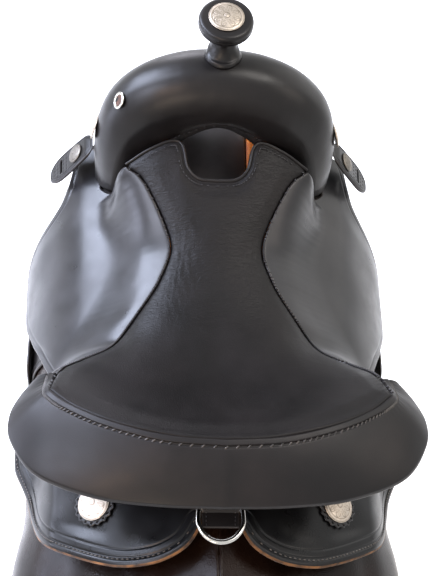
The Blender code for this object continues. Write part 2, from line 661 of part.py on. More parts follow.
def tube(name, outer, inner, material):
    """A closed wall between two lofts of equal rings, open at both ends."""
    count, around, _ = outer.shape
    points = np.concatenate([outer.reshape(-1, 3), inner.reshape(-1, 3)])
    shift = count * around
    faces = []
    for j in range(count - 1):
        for i in range(around):
            k = (i + 1) % around
            a, b = j * around + i, j * around + k
            for corner in ((a, b, b + around), (a, b + around, a + around)):
                faces.append(corner)
                faces.append(tuple(shift + p for p in reversed(corner)))
    for j in (0, count - 1):
        for i in range(around):
            a, b = j * around + i, j * around + (i + 1) % around
            faces.append((a, b, shift + b, shift + a))
    return add_solid(name, points, faces, material)


tube("swell_cover", swell_rings(0.0, 0.0060), swell_rings(SWELL_LEATHER, 0.0060), "seat_leather")
loft("fork", swell_rings(SWELL_LEATHER + GAP, 0.0010, sole=(0.7, 0.4, 0.1)), "rawhide")


# Horn
def height_on(solid, x, y, start=0.4):
    """Height of a solid's upper side under the point x, y."""
    hit, place, _, _ = solid.ray_cast((x, y, start), (0, 0, -1))
    return place[2] if hit else None


def horn_neck():
    """Leather-wrapped neck: a flared foot that follows the swell, a waist and a throat."""
    swell = bpy.data.objects["swell_cover"]
    turn = np.linspace(0, 2 * np.pi, 18, endpoint=False)
    circle = np.stack([np.cos(turn), np.sin(turn), 0 * turn], -1)
    rings = []
    for radius, lift in ((0.0030, 0.0014), (0.0080, 0.0014), (0.0130, 0.0014), (0.0185, 0.0014),
                         (0.0192, 0.0034), (0.0178, 0.0058)):
        ring = np.array(HORN_FOOT) + circle * radius
        for point in ring:
            point[2] = height_on(swell, point[0], point[1]) + lift
        rings.append(ring)
    crown = height_on(swell, 0.0, HORN_FOOT[1])
    throat = np.array(HORN_CAP_CENTRE) - (0, 0, HORN_CAP_THICK + GAP)
    neck = HORN_NECK_DIAMETER / 2
    for part, radius in ((0.30, neck * 1.16), (0.48, neck * 1.0), (0.66, neck * 0.98),
                         (0.82, neck * 1.08), (0.94, neck * 1.28), (1.0, neck * 1.45)):
        centre = np.array([0, HORN_FOOT[1], crown]) * (1 - part) + throat * part
        rings.append(centre + circle * radius)
    return loft("horn_neck", rings, "seat_leather")


def turned(name, centre, profile, material, count=24, up=(0, 0, 1)):
    """A round body: profile lists radius and height, from the bottom centre to the top."""
    up = np.asarray(up, float) / np.linalg.norm(up)
    side = np.cross(up, (0.3, 1.0, 0.1))
    side /= np.linalg.norm(side)
    other = np.cross(up, side)
    turn = np.linspace(0, 2 * np.pi, count, endpoint=False)[:, None]
    rings = [np.asarray(centre) + r * (np.cos(turn) * side + np.sin(turn) * other) + h * up
             for r, h in profile]
    return loft(name, rings, material, origin=tuple(centre))


horn_neck()
cap = HORN_CAP_DIAMETER / 2
turned("horn_cap", np.array(HORN_CAP_CENTRE) - (0, 0, HORN_CAP_THICK),
       [(cap * 0.72, 0.0), (cap * 0.93, 0.0016), (cap, 0.0052), (cap * 0.995, 0.0092),
        (cap * 0.94, 0.0124), (cap * 0.80, HORN_CAP_THICK), (cap * 0.2, HORN_CAP_THICK)],
       "seat_leather")
CONCHO_PROFILE = [(0.50, 0.0), (1.0, 0.0), (0.98, 0.0012), (0.72, 0.0027), (0.30, 0.0036)]


def concho(name, centre, diameter, up):
    profile = [(r * diameter / 2, h) for r, h in CONCHO_PROFILE]
    return turned(name, centre, profile, "silver", 16, up)


concho("horn_concho", np.array(HORN_CAP_CENTRE) + (0, 0, GAP), HORN_CONCHO_DIAMETER, (0, 0, 1))


# Rear conchos and dee
def surface_frame(s, y, n, side):
    """A point above the barrel with its outward direction."""
    here = barrel(s, y, n, side)
    out = barrel(s, y, n + 0.01, side) - here
    return here, out / np.linalg.norm(out)


for word, side in SIDES:
    place_s, place_y = REAR_CONCHO_AT
    seat = float(rear_jockey_low(place_s, place_y)) + JOCKEY_THICK + 0.0011
    here, out = surface_frame(place_s, place_y, seat, side)
    rosette = ROSETTE_DIAMETER / 2
    turned("rosette_" + word, here, [(rosette * 0.4, 0), (rosette, 0), (rosette, 0.0022),
                                     (rosette * 0.4, 0.0022)], "polished_leather", 20, out)
    concho("rear_concho_" + word, here + out * (0.0022 + GAP), CONCHO_DIAMETER, out)


def dee_ring(name, centre, along, down, width, depth, wire, material="nickel"):
    """D of round wire: the straight bar through the centre, the bow on the down side."""
    along, down = (np.asarray(v, float) / np.linalg.norm(v) for v in (along, down))
    out = np.cross(along, down)
    half = width / 2
    bow = [(half * np.cos(a), depth * 0.38 + (depth * 0.62) * np.sin(a))
           for a in np.linspace(0, np.pi, 11)]
    path = [(-half * 0.6, 0), (0, 0), (half * 0.6, 0), (half * 0.93, depth * 0.05)] + bow
    path += [(-half * 0.93, depth * 0.05)]
    path = np.array(path)
    ahead = np.roll(path, -1, axis=0) - np.roll(path, 1, axis=0)
    ahead /= np.linalg.norm(ahead, axis=1)[:, None]
    rings = []
    for (a, b), (ta, tb) in zip(path, ahead):
        middle = np.asarray(centre) + along * a + down * b
        across = along * tb - down * ta
        turn = np.linspace(0, 2 * np.pi, 8, endpoint=False)[:, None]
        rings.append(middle + wire / 2 * (np.cos(turn) * across + np.sin(turn) * out))
    return loft(name, rings, material, closed=True, origin=tuple(centre))


def rear_deck(x, y):
    """Height of the rear jockeys' upper side near the centre plane."""
    n = JOCKEY_LOW + REAR_JOCKEY_LIFT + JOCKEY_THICK
    slope = np.radians(SLOPE[0][1])
    reach = np.maximum(abs(x), REAR_DEE_HALF - 0.0003)
    rise = (GULLET_HALF + n * np.sin(slope) - reach) * np.tan(slope)
    return n * np.cos(slope) + rise + RIM_RISE * (y / 0.33) ** 2


def dee_keeper():
    """Leather strap over the bar of the rear dee, tacked down on both sides of it."""
    ys = np.array([-0.2245, -0.228, -0.2300, -0.2320, -0.234, -0.2360, -0.2380, -0.2405, -0.246,
                   -0.254])
    hump = np.array([0.0, 0.0, 0.40, 0.86, 1.0, 0.86, 0.40, 0.0, 0.0, 0.0]) * (DEE_WIRE + 0.0012)
    xs = np.linspace(-REAR_DEE_HALF, REAR_DEE_HALF, 5)
    grid_x, grid_y = np.meshgrid(xs, ys)
    base = rear_deck(0 * grid_x, grid_y) + GAP
    low = np.stack([grid_x, grid_y, base + hump[:, None]], -1)
    return slab("dee_keeper", low + (0, 0, 0.0026), low, "polished_leather")


dee_keeper()
dee_middle = (0.0, REAR_DEE_Y, float(rear_deck(0.0, REAR_DEE_Y)) + GAP * 1.5 + DEE_WIRE / 2)
dee_ring("rear_dee", dee_middle, (1, 0, 0), (0, -1, 0.06), DEE_WIDTH - DEE_WIRE, REAR_DEE_DEPTH,
         DEE_WIRE)


# Latigo keepers
def plate(name, ring, place, low, thick, material, holes=(), origin=(0.0, 0.0, 0.0)):
    """A flat or bent plate from a closed ring; place(u, v, n) gives the world points."""
    rings = [np.asarray(ring, float)] + [np.asarray(hole, float) for hole in holes]
    points = np.concatenate(rings)
    edges, first = [], 0
    for part in rings:
        edges += [(first + i, first + (i + 1) % len(part)) for i in range(len(part))]
        first += len(part)
    cut = delaunay_2d_cdt([tuple(p) for p in points], edges, [], 0, 1e-6)
    flat = np.array([tuple(p) for p in cut[0]])
    triangles = np.array(cut[2])
    centres = flat[triangles].mean(1)
    keep = inside(centres, rings[0])
    for hole in rings[1:]:
        keep &= ~inside(centres, hole)
    triangles = triangles[keep].tolist()
    bottom = place(flat[:, 0], flat[:, 1], np.full(len(flat), low))
    top = place(flat[:, 0], flat[:, 1], np.full(len(flat), low + thick))
    shift = len(flat)
    faces = [tuple(tri) for tri in triangles] + [(c + shift, b + shift, a + shift)
                                                 for a, b, c in triangles]
    halves = {(p, q) for a, b, c in triangles for p, q in ((a, b), (b, c), (c, a))}
    faces += [(q, p, p + shift, q + shift) for p, q in halves if (q, p) not in halves]
    return add_solid(name, np.concatenate([top, bottom]), faces, material, False, origin)


KEEPER_RING = curve_through([
    (0.000, -0.011), (0.012, -0.0135), (0.040, -0.0155), (0.066, -0.0150), (0.080, -0.0085),
    (0.083, 0.000), (0.080, 0.0085), (0.066, 0.0150), (0.040, 0.0155), (0.012, 0.0135),
    (0.000, 0.011)], 24)

for word, side in SIDES:
    mirror = np.array([side, 1.0, 1.0])
    start, tip = np.array(KEEPER_TOP) * mirror, np.array(KEEPER_TIP) * mirror
    long_way = (tip - start) / np.linalg.norm(tip - start)
    across = np.array([0.0, 1.0, 0.0]) - long_way * long_way[1]
    across /= np.linalg.norm(across)
    out = np.cross(long_way, across)
    out *= np.sign(out[2])

    def keeper_place(u, v, n):
        return start + np.multiply.outer(u, long_way) + np.multiply.outer(v, across) \
            + np.multiply.outer(n, out)

    slot = [(0.0575, -0.0100), (0.0625, -0.0100), (0.0625, 0.0100), (0.0575, 0.0100)]
    plate("latigo_keeper_" + word, KEEPER_RING, keeper_place, 0.0, KEEPER_THICK,
          "strap_leather", holes=[slot], origin=tuple(start))
    middle = start + long_way * 0.030 + out * (KEEPER_THICK + GAP)
    concho("keeper_concho_" + word, middle, KEEPER_CONCHO_DIAMETER, out)


# Front rigging
def rig_strap_low(s, y):
    """Lies on the skirt and humps over the bar of the dee."""
    hump = RIG_DEE_WIRE + 0.0009
    return STRAP_LOW + hump * (1 - ramp(abs(s - RIG_BAR_S), 0.0030, 0.0085))


for word, side in SIDES:
    lines = [0.250, 0.2525, 0.255, 0.2575, 0.259, 0.262, 0.265, 0.2665, 0.269, 0.2715, 0.274]
    upper = S_LINES[(S_LINES > STRAP_START) & (S_LINES < lines[0])]
    grid_s = np.concatenate([[STRAP_START], upper, lines, [0.280]])
    grid_y = np.linspace(*RIG_Y, 3)
    mesh_s, mesh_y = np.meshgrid(grid_s, grid_y, indexing="ij")
    low = rig_strap_low(mesh_s, mesh_y)
    slab("rigging_strap_" + word, barrel(mesh_s, mesh_y, low + STRAP_THICK, side),
         barrel(mesh_s, mesh_y, low, side), "strap_leather")
    here, out = surface_frame(RIG_BAR_S, sum(RIG_Y) / 2, STRAP_LOW + RIG_DEE_WIRE / 2 + 0.0002,
                              side)
    dee_ring("rigging_dee_" + word, here, (0, 1, 0), (0, 0, -1), RIG_DEE_WIDTH,
             RIG_DEE_DEPTH, RIG_DEE_WIRE)


# Stirrup leathers, fenders
FENDER_X = float(np.max(FINE_X)) + STRAP_TOP + GAP
FENDER_PIVOT = np.array([FENDER_X, PIVOT_Y, PIVOT_Z])
BOLT_X = FENDER_X - GAP - LOOP_RADIUS
FENDER_RING = curve_through([
    (-0.022, 0.026), (-0.031, 0.014), (-0.036, -0.010), (-0.046, -0.050), (-0.066, -0.095),
    (-0.075, -0.130), (-0.068, -0.165), (-0.045, -0.195), (-0.028, -0.214), (-0.026, -0.226),
    (0.026, -0.226), (0.028, -0.214), (0.045, -0.195), (0.070, -0.165), (0.083, -0.130),
    (0.077, -0.095), (0.052, -0.050), (0.038, -0.010), (0.031, 0.014), (0.022, 0.026),
    (0.000, 0.0285)], 44, closed=True)


def ring_of(centre, radius, count):
    turn = np.linspace(0, 2 * np.pi, count, endpoint=False)
    return np.stack([centre[0] + radius * np.cos(turn), centre[1] + radius * np.sin(turn)], -1)


for word, side in SIDES:
    grid_s = S_LINES[(S_LINES > STRAP_START) & (S_LINES < 0.255)]
    grid_s = np.concatenate([[STRAP_START], grid_s, [0.258]])
    mesh_s, mesh_y = np.meshgrid(grid_s, np.linspace(*LEATHER_Y, 3), indexing="ij")
    slab("stirrup_leather_" + word, barrel(mesh_s, mesh_y, STRAP_TOP, side),
         barrel(mesh_s, mesh_y, STRAP_LOW, side), "strap_leather")
    pivot = FENDER_PIVOT * (side, 1, 1)
    plate("fender_" + word, FENDER_RING,
          lambda u, v, n: np.stack([side * (FENDER_X + n), pivot[1] + u, pivot[2] + v], -1),
          0.0, FENDER_THICK, "polished_leather", origin=tuple(pivot))

    strap_x = (FENDER_X - GAP - STRAP_THICK, FENDER_X - GAP)
    turn = np.radians(np.linspace(0, -225, 12))
    strap = [(strap_x[1], -0.185)]
    loop = [(BOLT_X + LOOP_RADIUS * np.cos(a), BOLT_Z + LOOP_RADIUS * np.sin(a)) for a in turn]
    strap += loop + [(strap_x[0], BOLT_Z + LOOP_RADIUS * 1.25), (strap_x[0], -0.185)]
    plate("stirrup_neck_" + word, strap,
          lambda u, v, n: np.stack([side * u, pivot[1] + n, v], -1), -0.022, 0.044,
          "strap_leather", holes=[ring_of((BOLT_X, BOLT_Z), BOLT_DIAMETER / 2 + BOLT_CLEAR, 14)])

# Stirrups
# Left half of the stirrup's frame seen from the side: y and drop below the bolt, then the half
# thickness of the wood and the half depth from front to back of the foot hole.
STIRRUP_FRAME = np.array([
    (-0.0285, 0.0110, 0.0032, 0.0105), (-0.0285, -0.0100, 0.0035, 0.0125),
    (-0.0400, -0.0300, 0.0040, 0.0145), (-0.0530, -0.0600, 0.0042, 0.0165),
    (-0.0570, -0.0880, 0.0044, 0.0185), (-0.0520, -0.1150, 0.0046, 0.0205),
    (-0.0420, -0.1285, 0.0046, 0.0210), (-0.0300, -0.1305, 0.0046, 0.0210),
    (-0.0150, -0.1305, 0.0046, 0.0210), (0.0000, -0.1305, 0.0046, 0.0210)])


def stirrup_rings(side, pivot):
    """Rings along the frame: a rounded bar, flat on the tread."""
    half = curve_through(STIRRUP_FRAME, 17)
    other = half[-2::-1] * (-1, 1, 1, 1)
    path = np.concatenate([half, other])
    ahead = np.gradient(path[:, :2], axis=0)
    ahead /= np.linalg.norm(ahead, axis=1)[:, None]
    rings = []
    for (y, z, thick, deep), (ty, tz) in zip(path, ahead):
        corner = [(1, 0.45), (0.82, 1), (-0.82, 1), (-1, 0.45), (-1, -0.45), (-0.82, -1),
                  (0.82, -1), (1, -0.45)]
        ring = [(side * (BOLT_X + a * deep), pivot[1] + y - b * thick * tz,
                 BOLT_Z + z + b * thick * ty) for a, b in corner]
        rings.append(ring)
    return np.array(rings)


def bolt_profile(half, radius, head):
    """Radius and height along a bolt with a round head at both ends."""
    return [(head * 0.5, -half), (head, -half + 0.0010), (head, -half + 0.0030),
            (radius, -half + 0.0030), (radius, half - 0.0030), (head, half - 0.0030),
            (head, half - 0.0010), (head * 0.5, half)]


def bore(solid, centre, radius, reach):
    """Cuts a round hole along Y through a solid."""
    name = "hole_in_" + solid.name
    cutter = turned(name, centre, [(radius, -reach), (radius, reach)], "nickel", 14, (0, 1, 0))
    cut = solid.modifiers.new("hole", "BOOLEAN")
    cut.object, cut.operation, cut.solver = cutter, "DIFFERENCE", "EXACT"
    GROUP.objects.unlink(cutter)
    CUTTERS.objects.link(cutter)
    cutter.hide_render = True
    cutter.display_type = "WIRE"


CUTTERS = bpy.data.collections.new("cutters")
bpy.context.scene.collection.children.link(CUTTERS)
for word, side in SIDES:
    hinge = np.array([side * BOLT_X, FENDER_PIVOT[1], BOLT_Z])
    stirrup = loft("stirrup_" + word, stirrup_rings(side, hinge), "polished_leather",
                   origin=tuple(hinge))
    bore(stirrup, tuple(hinge), BOLT_DIAMETER / 2 + BOLT_CLEAR, 0.05)
    turned("stirrup_bolt_" + word, hinge, bolt_profile(BOLT_HALF, BOLT_DIAMETER / 2, 0.0065),
           "nickel", 14, (0, 1, 0))


# Small trim
def notch_binding():
    """Bound edge along the ears and round the notch at the front of the seat."""
    row = SEAT_TOP[0]
    steps = np.linspace(0, len(row) - 1, 25)
    path = np.column_stack([np.interp(steps, np.arange(len(row)), row[:, k]) for k in range(3)])
    ahead = np.gradient(path, axis=0)
    ahead /= np.linalg.norm(ahead, axis=1)[:, None]
    front = np.stack([-ahead[:, 1], ahead[:, 0], 0 * ahead[:, 0]], -1)
    front /= np.linalg.norm(front, axis=1)[:, None]
    if front[len(path) // 2, 1] < 0:
        front = -front
    up = np.cross(front, ahead)
    up *= np.sign(up[:, 2])[:, None]
    middle = path + front * (BINDING_WIDE / 2 + 0.0012) - up * 0.0036
    turn = np.linspace(0, 2 * np.pi, 8, endpoint=False)
    rings = [m + np.outer(np.cos(turn), f) * BINDING_WIDE / 2 + np.outer(np.sin(turn), u) * 0.0042
             for m, f, u in zip(middle, front, up)]
    return loft("notch_binding", rings, "seat_leather")


notch_binding()


def on_swell(start, aim):
    """Where a line from start towards aim meets the swell, and the outward normal there."""
    way = np.asarray(aim, float) - start
    hit, place, normal, _ = bpy.data.objects["swell_cover"].ray_cast(tuple(start), tuple(way))
    assert hit
    return np.array(place), np.array(normal)


def eyelet():
    """Flattened wire ring round the ferrule; only the left side of the swell has one."""
    place, out = on_swell(np.array([-0.188, 0.165, 0.167]), (-0.1053, 0.181, 0.113))
    across = np.cross(out, (0, 1, 0))
    across /= np.linalg.norm(across)
    other = np.cross(out, across)
    around = np.linspace(0, 2 * np.pi, 6, endpoint=False)
    rings = []
    for a in np.linspace(0, 2 * np.pi, 16, endpoint=False):
        spoke = np.cos(a) * across + np.sin(a) * other
        centre = place + out * (EYELET_WIRE * 0.35 + GAP)
        centre = centre + spoke * (EYELET_DIAMETER - EYELET_WIRE) / 2
        rings.append([centre + spoke * EYELET_WIRE / 2 * np.cos(b)
                      + out * EYELET_WIRE * 0.35 * np.sin(b) for b in around])
    loft("eyelet_left", rings, "nickel", closed=True)


eyelet()

for word, side in SIDES:
    place, out = on_swell(np.array([side * 0.25, 0.187, 0.060]), (side * 0.08, 0.187, 0.056))
    concho("swell_concho_" + word, place + out * GAP, SWELL_CONCHO_DIAMETER, out)
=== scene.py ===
# %% [markdown]
# # A western trail saddle
# The saddle is already built as solids: the tree, the leather layers, the rigging and the
# stirrups, each in its place and joined where it moves.  Here every piece that shows gets its fine
# surface and its finish.  We load the solids first.  Nothing below may outgrow it.

import math

import bmesh
import bpy
import numpy as np
from mathutils import Matrix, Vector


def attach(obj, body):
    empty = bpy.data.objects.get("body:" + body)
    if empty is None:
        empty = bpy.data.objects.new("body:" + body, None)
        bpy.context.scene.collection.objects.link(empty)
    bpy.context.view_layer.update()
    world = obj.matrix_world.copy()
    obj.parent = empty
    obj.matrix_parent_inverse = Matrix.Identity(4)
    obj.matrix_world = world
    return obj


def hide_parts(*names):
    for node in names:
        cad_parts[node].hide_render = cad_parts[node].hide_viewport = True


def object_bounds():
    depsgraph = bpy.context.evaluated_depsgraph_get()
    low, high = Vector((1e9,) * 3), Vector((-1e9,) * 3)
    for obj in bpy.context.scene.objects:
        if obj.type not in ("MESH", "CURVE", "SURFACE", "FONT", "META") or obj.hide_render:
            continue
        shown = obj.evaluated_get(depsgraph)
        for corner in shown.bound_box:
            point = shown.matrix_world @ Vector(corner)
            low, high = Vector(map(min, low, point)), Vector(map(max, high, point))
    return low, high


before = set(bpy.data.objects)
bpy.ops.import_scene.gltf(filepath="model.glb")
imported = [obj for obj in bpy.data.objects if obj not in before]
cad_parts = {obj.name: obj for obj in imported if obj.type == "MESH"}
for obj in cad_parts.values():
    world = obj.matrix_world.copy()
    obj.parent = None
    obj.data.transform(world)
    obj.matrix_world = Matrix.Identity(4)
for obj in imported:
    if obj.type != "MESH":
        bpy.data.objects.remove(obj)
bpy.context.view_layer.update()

# %% [markdown]
# ## Camera
# The photograph looks down from behind and a little to the left, from about a metre above the
# seat.  The camera's place and its three directions were fitted to the saddle's outline, so we
# write its matrix down directly.

# %% Camera
CAMERA_PLACE = (-0.083, -0.531, 1.052)
CAMERA_RIGHT = (0.99711, -0.01234, 0.07497)
CAMERA_UP = (-0.02384, 0.88611, 0.46289)
CAMERA_BACK = (-0.07214, -0.46334, 0.88325)
LENS_MM = 68.875                            # on a 36 mm sensor along the picture's long side

camera = bpy.data.objects.new("camera", bpy.data.cameras.new("camera"))
camera.data.lens = LENS_MM
camera.data.sensor_width = 36.0
columns = np.array([CAMERA_RIGHT, CAMERA_UP, CAMERA_BACK]).T
camera.matrix_world = Matrix.Translation(CAMERA_PLACE) @ Matrix(columns.tolist()).to_4x4()
bpy.context.scene.collection.objects.link(camera)
bpy.context.scene.camera = camera
print("camera looks down", round(math.degrees(math.asin(CAMERA_BACK[2])), 1), "degrees")

# %% [markdown]
# ## Colours and nodes
# Colours are written as sRGB hex values, the way a paint card gives them, and one function
# turns them to the linear values that Blender works in.  A second small function adds a shader
# node with its settings and links, so that a material reads as a short list.


# %% Helpers for materials
def linear(code):
    """sRGB hex to linear RGBA: c / 12.92 when dark, else ((c + 0.055) / 1.055) ** 2.4."""
    srgb = [int(code[i:i + 2], 16) / 255 for i in (1, 3, 5)]
    return (*[c / 12.92 if c <= 0.04045 else ((c + 0.055) / 1.055) ** 2.4 for c in srgb], 1.0)


def node(tree, kind, links=(), inputs=(), **settings):
    """Adds a node, sets its properties and inputs, and links (input, socket) pairs to it."""
    made = tree.nodes.new("ShaderNode" + kind)
    for key, value in settings.items():
        setattr(made, key, value)
    for key, value in dict(inputs).items():
        made.inputs[key].default_value = value
    for key, socket in dict(links).items():
        tree.links.new(socket, made.inputs[key])
    return made


def new_material(name, colour, roughness, **principled):
    """A Principled material and its node tree; constants sit on the shader's own sockets."""
    material = bpy.data.materials.new(name)
    material.use_nodes = True
    tree = material.node_tree
    shader = tree.nodes["Principled BSDF"]
    shader.inputs["Base Color"].default_value = linear(colour)
    shader.inputs["Roughness"].default_value = roughness
    for key, value in principled.items():
        shader.inputs[key.replace("_", " ")].default_value = value
    material.diffuse_color = linear(colour)
    return material, tree, shader


def blend_colours(tree, factor, first, second):
    """Mixes two hex colours by a factor socket and returns the colour socket."""
    mix = node(tree, "Mix", {0: factor}, {6: linear(first), 7: linear(second)},
               data_type="RGBA")
    return mix.outputs[2]


def remap(tree, value, low, high, to_low, to_high):
    """Maps a value socket from one range to another, clamped."""
    made = node(tree, "MapRange", {0: value}, {1: low, 2: high, 3: to_low, 4: to_high})
    return made.outputs[0]


# %% [markdown]
# ## Leather
# Black saddle leather is vegetable-tanned cowhide, dyed through and dressed with wax.  Its
# refractive index is about 1.5.  The eye reads it by three things: a pebble grain about a
# millimetre across, creases that run where it was pulled, and a gloss that changes over a hand's
# width where it was handled.  One function builds them all, and each kind of leather on the
# saddle gets its own grain size, depth and gloss.


# %% Leather material
def leather(name, colour, worn, roughness, grain_mm, grain_depth, creases=0.0, coat=0.0,
            patches=0.05, specular=0.5):
    """Leather: Voronoi pebbles, finer pores, stretched creases and patches of gloss."""
    material, tree, shader = new_material(name, colour, roughness, IOR=1.5, Coat_Weight=coat,
                                          Coat_Roughness=0.18, Specular_IOR_Level=specular)
    place = node(tree, "TexCoord").outputs["Object"]
    wide = node(tree, "TexNoise", {"Vector": place}, {"Scale": 14.0, "Detail": 4.0,
                                                      "Roughness": 0.55})
    spots = node(tree, "TexNoise", {"Vector": place}, {"Scale": 60.0, "Detail": 3.0})
    shade = remap(tree, wide.outputs["Fac"], 0.38, 0.66, 0.0, 1.0)
    tree.links.new(blend_colours(tree, shade, colour, worn), shader.inputs["Base Color"])
    gloss = node(tree, "Math", {0: wide.outputs["Fac"], 1: spots.outputs["Fac"]},
                 operation="ADD")
    tree.links.new(remap(tree, gloss.outputs[0], 0.7, 1.3, roughness - patches,
                         roughness + patches), shader.inputs["Roughness"])
    pebbles = node(tree, "TexVoronoi", {"Vector": place},
                   {"Scale": 1000.0 / grain_mm, "Randomness": 1.0},
                   feature="F1")
    pores = node(tree, "TexNoise", {"Vector": place},
                 {"Scale": 2600.0 / grain_mm, "Detail": 2.0})
    relief = node(tree, "Bump", {"Height": pebbles.outputs["Distance"]},
                  {"Strength": grain_depth, "Distance": 0.0002}, invert=True)
    fine = node(tree, "Bump", {"Height": pores.outputs["Fac"],
                               "Normal": relief.outputs["Normal"]},
                {"Strength": grain_depth * 0.5, "Distance": 0.0001})
    last = fine
    if creases:
        forward = node(tree, "SeparateXYZ", {0: place}).outputs[1]
        pulled_here = remap(tree, forward, -0.11, 0.02, 0.10, 1.0)
        stretched = node(tree, "Mapping", {"Vector": place}, {"Scale": (110.0, 330.0, 110.0),
                                                              "Rotation": (0.0, 0.0, 0.35)})
        folds = node(tree, "TexNoise", {"Vector": stretched.outputs[0]},
                     {"Scale": 1.0, "Detail": 3.0, "Roughness": 0.6, "Distortion": 1.1})
        last = node(tree, "Bump", {"Height": folds.outputs["Fac"], "Strength": node(
            tree, "Math", {0: pulled_here}, {1: creases}, operation="MULTIPLY").outputs[0],
                                   "Normal": fine.outputs["Normal"]}, {"Distance": 0.0014})
    tree.links.new(last.outputs["Normal"], shader.inputs["Normal"])
    return material


seat_leather = leather("padded_seat_cowhide", "#0f0d0d", "#171414", 0.43, 1.1, 0.60,
                       creases=0.55, patches=0.05, specular=0.20)
swell_leather = leather("waxed_swell_cowhide", "#121010", "#1a1717", 0.36, 0.9, 0.18,
                        patches=0.05, specular=0.30)
roll_leather = leather("waxed_roll_cowhide", "#110f10", "#1b1717", 0.42, 0.9, 0.18,
                       patches=0.05, specular=0.28)
rear_leather = leather("oiled_rear_jockey_leather", "#0e0e0f", "#141416", 0.30, 0.8, 0.08,
                       coat=0.04, patches=0.06, specular=0.24)
jockey_leather = leather("polished_jockey_leather", "#222224", "#313032", 0.33, 0.8, 0.05,
                         coat=0.06, patches=0.06, specular=0.36)
skirt_leather = leather("glossy_skirt_leather", "#140c09", "#20130d", 0.26, 1.7, 0.50,
                        patches=0.07, specular=0.17)
strap_leather = leather("strap_leather", "#111010", "#191616", 0.38, 0.9, 0.18, specular=0.3)
edge_leather = leather("burnished_leather_edge", "#232020", "#332e2c", 0.32, 0.6, 0.15,
                       specular=0.35)
print("leathers made")

# %% [markdown]
# ## Metal, rawhide, thread and fleece
# The conchos are stamped from nickel silver: a pale metal with a soft polish and tarnish left in
# the cuts.  The rings are bright nickel plate.  The tree under the leather is wood wrapped in
# rawhide, which dries to a glossy amber.  The flesh side of the leather is tan suede, and the
# under side of the skirts is lined with cream sheepskin.


# %% Other materials
def metal(name, colour, tarnish, roughness):
    """Metal whose cuts, marked by the vertex attribute 'cut', keep dark tarnish."""
    material, tree, shader = new_material(name, colour, roughness, Metallic=1.0)
    cut = node(tree, "Attribute", attribute_name="cut").outputs["Fac"]
    tree.links.new(blend_colours(tree, cut, colour, tarnish), shader.inputs["Base Color"])
    place = node(tree, "TexCoord").outputs["Object"]
    hand = node(tree, "TexNoise", {"Vector": place}, {"Scale": 260.0, "Detail": 3.0})
    tree.links.new(remap(tree, hand.outputs["Fac"], 0.35, 0.65, roughness * 0.8,
                         roughness * 1.3), shader.inputs["Roughness"])
    fine = node(tree, "Bump", {"Height": hand.outputs["Fac"]},
                {"Strength": 0.12, "Distance": 0.0002})
    tree.links.new(fine.outputs["Normal"], shader.inputs["Normal"])
    return material


def fibrous(name, colour, second, roughness, scale, depth, sheen=0.0, **principled):
    """A fibrous matt surface: noise in two sizes for colour and bump, with some sheen."""
    material, tree, shader = new_material(name, colour, roughness, Sheen_Weight=sheen,
                                          **principled)
    place = node(tree, "TexCoord").outputs["Object"]
    wide = node(tree, "TexNoise", {"Vector": place}, {"Scale": scale / 6, "Detail": 5.0})
    fine = node(tree, "TexNoise", {"Vector": place}, {"Scale": scale, "Detail": 4.0,
                                                      "Roughness": 0.7})
    shade = remap(tree, wide.outputs["Fac"], 0.35, 0.65, 0.0, 1.0)
    tree.links.new(blend_colours(tree, shade, colour, second), shader.inputs["Base Color"])
    bump = node(tree, "Bump", {"Height": fine.outputs["Fac"]},
                {"Strength": depth, "Distance": 0.0008})
    tree.links.new(bump.outputs["Normal"], shader.inputs["Normal"])
    return material


nickel_silver = metal("stamped_nickel_silver", "#b8ada0", "#6b6054", 0.40)
dull_nickel = metal("worn_nickel_silver", "#78736c", "#4a443e", 0.44)
bright_nickel = metal("bright_nickel_plate", "#c9c7c2", "#77726a", 0.13)
rawhide = fibrous("amber_rawhide", "#c8640e", "#dd8526", 0.60, 240.0, 0.25, IOR=1.52,
                  Specular_IOR_Level=0.12)
suede = fibrous("tan_flesh_side", "#8a5a2e", "#a87844", 0.85, 1500.0, 0.8, sheen=0.3)
dark_suede = fibrous("dyed_flesh_side", "#1d1815", "#2c241f", 0.85, 1500.0, 0.7, sheen=0.2)
fleece = fibrous("cream_sheepskin", "#d8cbb0", "#ece2cc", 0.95, 900.0, 1.0, sheen=0.6)
thread = fibrous("waxed_black_thread", "#1c1a1b", "#343132", 0.38, 2600.0, 0.5)
pale_thread = fibrous("worn_waxed_thread", "#3d3835", "#6f6862", 0.40, 2600.0, 0.5)
lacing = fibrous("dark_leather_lacing", "#1e1b1a", "#4a4440", 0.34, 900.0, 0.4)
raw_edge = fibrous("raw_leather_edge", "#24160d", "#8c5f34", 0.85, 420.0, 0.9, sheen=0.2)
print("metals and fibres made")

# %% [markdown]
# ## Curves and surfaces
# Most shapes on a saddle are curves drawn through a few points, then swept or ruled into
# surfaces.  `spline` runs a Catmull-Rom curve through points, `evenly` spreads points along it
# by length, and `ramp` is the soft step that blends one shape into another.


# %% Curve helpers
def spline(knots, count, closed=False):
    """Catmull-Rom: each span is a cubic whose slopes are half the step between neighbours."""
    knots = np.asarray(knots, float)
    if closed:
        padded = np.concatenate([knots[-1:], knots, knots[:2]])
        spans = len(knots)
        places = np.arange(count) * spans / count
    else:
        padded = np.concatenate([2 * knots[:1] - knots[1:2], knots,
                                 2 * knots[-1:] - knots[-2:-1]])
        spans = len(knots) - 1
        places = np.linspace(0, spans, count)
    index = np.minimum(places.astype(int), spans - 1)
    t = (places - index).reshape((-1,) + (1,) * (knots.ndim - 1))
    a, b, c, d = (padded[index + k] for k in range(4))
    return 0.5 * (2 * b + (c - a) * t + (2 * a - 5 * b + 4 * c - d) * t ** 2
                  + (3 * b - a - 3 * c + d) * t ** 3)


